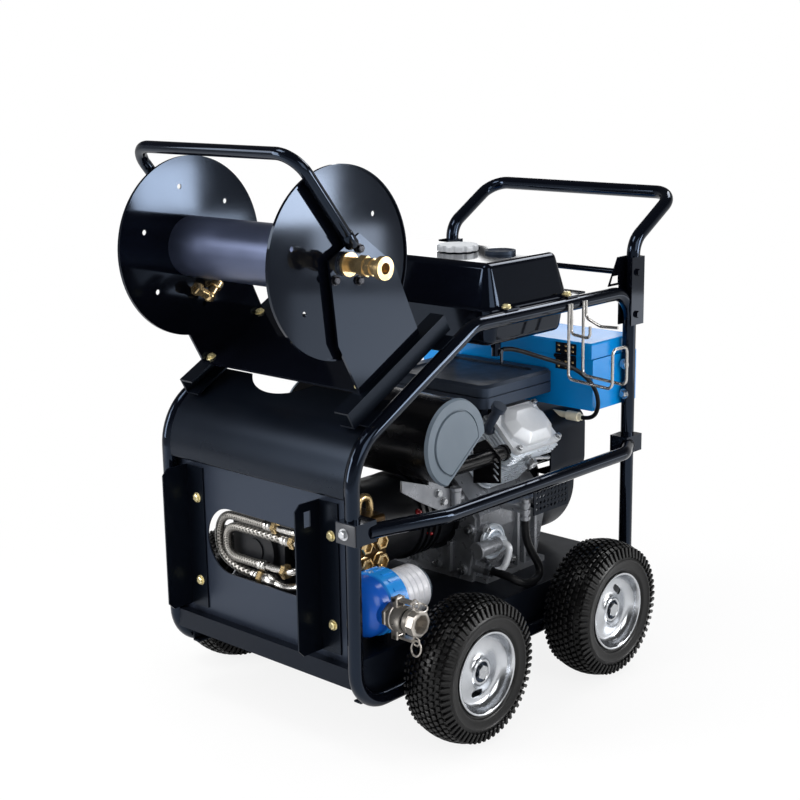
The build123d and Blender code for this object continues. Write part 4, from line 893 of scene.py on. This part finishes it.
def stay_boss():
    """Upright boss behind the muffler's stay."""
    boss = turned("stay_boss", [
        (372, 0), (372, 9), (374, 10.5), (410, 10.5), (412, 12), (418, 12), (419, 11), (419, 6), (412, 5),
        (412, 0)], (152, -50, 0), ALONG_Z, ALONG_X, 32)
    give(boss, grey_casting, "chassis", "cast_aluminium")


stay_boss()


def head_fins():
    """Cast ribs round both heads, under the rocker covers."""
    ribs = []
    for side in BANKS_Y:
        for out in RIBS_OUT:
            rib = slab("rib", (-73, -55, out), (73, 55, out + 3.4), 1.4, 2)
            rib.matrix_world = bank_frame(side)
            ribs.append(rib)
    piece = join("head_fins", ribs)
    settle(piece, 30)
    give(piece, fin_aluminium_with_painted_light, "chassis", "cast_aluminium")


head_fins()


def spark_lead():
    """Plug boot on the right head and the throttle rod beside it."""
    boot = turned("plug_boot", [
        (0, 0), (0, 10.5), (5, 10.5), (6, 8), (11, 8), (11, 12), (13, 13), (24, 12), (26, 10), (26, 5),
        (22, 4), (22, 0)], (188.5, 126, 450.5), (BANK_C, 0, -BANK_C), ALONG_Y, 32)
    give(boot, zinc, "chassis", "zinc_steel")
    hose("throttle_rod", [[
        (186, 150, 440), (187, 176, 437), (186, 216, 428), (150, 236, 426)]], 7, zinc, "zinc_steel")


spark_lead()


def oil_plugs():
    """Two red plugs with a finger grip, square to the gearbox's round side."""
    plug = turned("oil_plug", [
        (-3, 0), (-3, 6.5), (2, 6.5), (3, 5.5), (3, 3.5), (8, 3), (9, 2), (9, 0)],
        (0, 0, 0), ALONG_Z, ALONG_X, 20)
    copies("oil_plugs", plug, [
        ((81.5, -52, 311.5), (0.957, 0, -0.29)), ((81.5, -84, 361.3), (0.957, 0, 0.29)),
    ], red_plastic, "chassis", "white_plastic")


oil_plugs()


def oil_base():
    """Ringed base of the oil filter on the crankcase's side, with the arm that runs forward from it."""
    base = turned("oil_filter_base", [
        (146, 0), (146, 37), (152, 37), (153.5, 35.5), (153.5, 33), (150, 32), (150, 29), (156, 28),
        (157, 26.5), (157, 23), (153, 22), (153, 19.5), (160, 18.5), (174, 17.5), (177, 15), (177, 0)],
        (0, 66, 277), ALONG_X, ALONG_Z)
    give(base, fin_aluminium_with_painted_light, "chassis", "cast_aluminium", "oil_filter")
    arm = turned("oil_filter_arm", [
        (0, 0), (0, 13.5), (3, 15), (56, 15.5), (58, 17.5), (66, 18), (68, 16.5), (68, 0)],
        (170, 58, 279), -ALONG_Y, ALONG_Z, 48)
    give(arm, grey_casting, "chassis", "cast_aluminium")


oil_base()


def drain_elbow():
    """Union and pipe where the drain hose goes into the crankcase."""
    nut = turned("drain_nut", [
        (150, 0), (150, 12), (152, 13.5), (164, 13.5), (166, 12), (166, 0)],
        (0, 46, 222), ALONG_X, ALONG_Z, 6)
    give(nut, zinc, "chassis", "zinc_steel")
    hose("drain_pipe", [[
        (160, 46, 222), (172, 48, 222), (188, 56, 230), (194, 64, 258), (194, 66, 280), (172, 66, 280),
    ]], 14, cast_aluminium, "cast_aluminium")


drain_elbow()


# Frame bolts: hexagon heads on washers, where the CAD has plain heads

# The reel's rails climb backwards from this point, and the bracket's feet lie on them
RAIL_SLOPE = math.radians(28.5)
RAIL_START = Vector((0, -402, 600))
RAIL_WAY = Vector((0, math.cos(RAIL_SLOPE), math.sin(RAIL_SLOPE)))
RAIL_UP = Vector((0, -math.sin(RAIL_SLOPE), math.cos(RAIL_SLOPE)))
FOOT_X = 199
FOOT_OUT = 55
FOOT_BOLTS = (75, 222)

REEL_Y = -402
REEL_Z = 904
BEARING_X = 211
BEARING_BOLTS = ((33, 23), (31, -32), (-27, -25))
POST_X = 247.5


def foot_seat(side, along):
    """Place on the reel bracket's foot."""
    return RAIL_START + Vector((side * FOOT_X, 0, 0)) + RAIL_WAY * along + RAIL_UP * FOOT_OUT


panel_seats = [((x, -426, z), -ALONG_Y) for x in (-183, 183) for z in (252, 420)]
panel_seats += [((side * 238.5, y, 778), ALONG_Z) for side in SIDES.values() for y in (0, 190)]
panel_seats += [(foot_seat(side, along), RAIL_UP) for side in SIDES.values() for along in FOOT_BOLTS]
copies(
    "panel_bolts", bolt(13, 5.5, 20), panel_seats, yellow_zinc, "chassis", "yellow_zinc", "chassis_bolts")
bearing_seats = [
    ((side * BEARING_X, REEL_Y + dy, REEL_Z + dz), side * ALONG_X)
    for side in SIDES.values()
    for dy, dz in BEARING_BOLTS
]
copies("bearing_bolts", bolt(13, 7, 18), bearing_seats, black_oxide, "chassis", "dark_steel")
clamp_seats = [((POST_X, -458.5, 444), -ALONG_Y), ((POST_X, 416.5, 437), ALONG_Y)]
clamp_seats += [((side * POST_X, 383.2, z), -ALONG_Y) for side in SIDES.values() for z in (543, 607)]
copies("clamp_bolts", bolt(14, 7, 22), clamp_seats, zinc, "chassis", "zinc_steel")

HINGES_X = (-165, 165)
RIVETS_X = (-18, 0, 18)
LEAF_Y = 288


def hinge_rivets(name, rows, body):
    """Domed rivets in a toolbox hinge's leaves."""
    rivet = turned("rivet", [
        (-0.5, 0), (-0.5, 3), (0.2, 3), (1.0, 2.3), (1.5, 1.2), (1.6, 0)],
        (0, 0, 0), ALONG_Z, ALONG_X, 16)
    seats = [((hinge + x, LEAF_Y, z), -ALONG_Y) for hinge in HINGES_X for x in RIVETS_X for z in rows]
    copies(name, rivet, seats, turned_brass, body, "brass")


hinge_rivets("hinge_rivets", (606, 617), "chassis")
hinge_rivets("lid_rivets", (640, 650), "box_lid")


# Reel dressing

def hose_elbow():
    """Brass elbow on the left flange: the tail's arm, a knuckle and an arm back to the flange."""
    knuckle = Vector((-170, -385, 809))
    tail = Vector((0, -math.cos(math.radians(30)), 0.5))
    root = Vector((0, 0.68, 0.733)).normalized()
    parts = [
        turned("tail", [(-6, 0), (-6, 9), (30, 9), (30, 0)], knuckle, tail, ALONG_X, 32),
        turned("tail_nut", [(26, 4), (26, 11), (28, 13), (38, 13), (40, 11), (40, 4), (26, 4)],
               knuckle, tail, ALONG_X, 6),
        turned("root", [(-6, 0), (-6, 9), (20, 9), (20, 11), (22, 12.5), (33, 12.5), (35, 11), (35, 0)],
               knuckle, root, ALONG_X, 32),
        turned("knuckle", [(-11.5, 0), (-10, 5.8), (-5.8, 10), (0, 11.5), (5.8, 10), (10, 5.8), (11.5, 0)],
               knuckle, ALONG_X, root, 32),
        turned("stub", [(0, 0), (0, 8), (23.5, 8), (23.5, 0)], knuckle + root * 26, -ALONG_X, root, 24),
    ]
    give(join("hose_elbow", parts), turned_brass, "reel", "brass", "reel_elbow")


hose_elbow()


def hoop_feet():
    """Sleeves welded over the hoop's slotted ends."""
    profile = [(-22, 10.5), (-22, 11.6), (-20, 12.6), (3, 12.6), (5, 11.6), (5, 0)]
    down = Vector((0, 126, -157)).normalized()
    sleeves = [
        turned("sleeve", profile, (side * 211.5, -388, 938), down, ALONG_X, 32) for side in SIDES.values()
    ]
    give(join("hoop_feet", sleeves), black_enamel, "chassis", "black_paint")


hoop_feet()

# Plate under the right rail's front clamp
clamp_plate = slab("clamp_plate", (227, -458.5, 425), (274, -455.5, 463), 1.2, 2)
give(clamp_plate, steel_grey, "chassis", "grey_paint")


# Studio

def seen_rays(tree):
    """The tree's light paths, and the share of rays that show the white room."""
    rays = add_node(tree, "ShaderNodeLightPath")
    seen = add_node(tree, "ShaderNodeMath", {
        0: rays.outputs["Is Camera Ray"], 1: rays.outputs["Is Transmission Ray"]}, operation="MAXIMUM")
    return rays, seen.outputs[0]


def studio_floor():
    """White floor that keeps the machine's soft shadow near it and melts into the room further out."""
    bpy.ops.object.select_all(action="DESELECT")
    bpy.ops.mesh.primitive_plane_add(size=14, location=(0, 0, 0))
    floor = bpy.context.object
    floor.name = "studio_floor"
    material, tree, shader = start_material("white_studio_floor")
    tree.nodes.remove(shader)
    paint = add_node(tree, "ShaderNodeBsdfDiffuse", {"Color": linear("#f4f4f4")})
    glow = add_node(tree, "ShaderNodeEmission", {"Color": (1, 1, 1, 1), "Strength": 1.0})
    seen = seen_rays(tree)[1]
    reach = add_node(tree, "ShaderNodeVectorMath", {0: object_place(tree)}, operation="LENGTH")
    white = add_node(tree, "ShaderNodeMapRange", {
        "Value": reach.outputs["Value"], "From Min": 0.5, "From Max": 1.5, "To Min": 0.86, "To Max": 1.0})
    share = add_node(tree, "ShaderNodeMath", {0: seen, 1: white.outputs["Result"]}, operation="MULTIPLY")
    mix = add_node(tree, "ShaderNodeMixShader", {
        0: share.outputs[0], 1: paint.outputs["BSDF"], 2: glow.outputs["Emission"]})
    tree.links.new(mix.outputs["Shader"], tree.nodes["Material Output"].inputs["Surface"])
    floor.data.materials.append(material)


def studio_world():
    """White room to the eye and through clear plastic. In gloss it is pale low down and dark above."""
    world = bpy.data.worlds.new("studio")
    bpy.context.scene.world = world
    world.use_nodes = True
    tree = world.node_tree
    rays, seen = seen_rays(tree)
    way = add_node(tree, "ShaderNodeTexCoord")
    height = add_node(tree, "ShaderNodeSeparateXYZ", {0: way.outputs["Generated"]})
    ceiling = add_node(tree, "ShaderNodeMapRange", {
        "Value": height.outputs["Z"], "From Min": 0.05, "From Max": 0.45, "To Min": 0.5, "To Max": 0.06},
        interpolation_type="SMOOTHSTEP")
    lit = add_node(tree, "ShaderNodeMix", {
        0: rays.outputs["Is Glossy Ray"], 2: 0.6, 3: ceiling.outputs["Result"]})
    strength = add_node(tree, "ShaderNodeMath", {0: seen, 1: lit.outputs[0]}, operation="MAXIMUM")
    back = tree.nodes["Background"]
    back.inputs["Color"].default_value = (1, 1, 1, 1)
    tree.links.new(strength.outputs[0], back.inputs["Strength"])


# Name, place, aim, width, height and watts of each lamp
SOFTBOXES = (
    ("front_key", (-1.4, -3.1, 1.4), (0.1, -0.4, 0.6), 1.1, 1.9, 70),
    ("side_key", (3.2, -0.6, 2.0), (0, 0, 0.5), 1.8, 1.8, 34),
    ("reel_softbox", (-0.9, -1.45, 1.5), (0, -0.45, 1.0), 0.5, 0.5, 5),
    ("top_front", (-0.35, -1.25, 3.0), (0.1, -0.2, 0.6), 0.9, 0.9, 22),
    ("top_back", (0.3, 1.9, 2.5), (0.2, 0, 0.6), 1.0, 0.8, 20),
    ("low_back", (1.75, 1.75, 0.28), (0.2, 0, 0.5), 1.2, 0.3, 2),
    ("box_card", (-1.36, 2.0, 1.18), (0.15, 0.37, 0.66), 0.8, 0.24, 1.4),
    ("tank_card", (-2.0, 1.8, 1.5), (-0.1, 0, 0.86), 0.4, 0.3, 0.9),
    ("bearing_light", (2.46, 1.91, 0.515), (0.2, -0.4, 0.93), 0.26, 0.16, 1.5),
    ("flange_light", (2.5, 1.7, 0.71), (-0.19, -0.46, 1.0), 0.24, 0.2, 2.4),
    ("tube_card", (2.4, 1.25, 1.1), (0.24, -0.1, 0.75), 0.8, 0.9, 34),
)


def softbox(name, place, aim, width, height, power):
    """A rectangular lamp at a place, aimed at a point."""
    lamp = bpy.data.lights.new(name, "AREA")
    lamp.shape = "RECTANGLE"
    lamp.size = width
    lamp.size_y = height
    lamp.energy = power
    stand = bpy.data.objects.new(name, lamp)
    bpy.context.collection.objects.link(stand)
    stand.location = place
    stand.rotation_euler = (Vector(aim) - Vector(place)).to_track_quat("-Z", "Y").to_euler()


# The photograph's camera, as fitted to the wheels, posts and rails
CAMERA_PLACE = (2.0154, -2.2194, 1.2629)
AZIMUTH = math.radians(42.81)
ELEVATION = math.radians(13.14)
ROLL = math.radians(-0.87)
FOCAL_PX = 1516.07
PHOTO_PX = 800
SENSOR_MM = 36


def photo_camera():
    """Camera where the photograph was taken from."""
    reach = math.cos(ELEVATION)
    forward = Vector((-math.sin(AZIMUTH) * reach, math.cos(AZIMUTH) * reach, -math.sin(ELEVATION)))
    level = Vector((math.cos(AZIMUTH), math.sin(AZIMUTH), 0))
    upright = level.cross(forward)
    right = level * math.cos(ROLL) + upright * math.sin(ROLL)
    up = upright * math.cos(ROLL) - level * math.sin(ROLL)
    view = bpy.data.cameras.new("photo_view")
    view.sensor_width = SENSOR_MM
    view.lens = SENSOR_MM * FOCAL_PX / PHOTO_PX
    camera = bpy.data.objects.new("photo_view", view)
    bpy.context.collection.objects.link(camera)
    turn = Matrix((right, up, -forward)).transposed().to_4x4()
    camera.matrix_world = Matrix.Translation(CAMERA_PLACE) @ turn
    bpy.context.scene.camera = camera


studio_floor()
studio_world()
for row in SOFTBOXES:
    softbox(*row)
# The card beside the tubes draws their bright lines and lights nothing else
bpy.data.objects["tube_card"].visible_diffuse = False
photo_camera()
bpy.context.scene.view_settings.view_transform = "Standard"
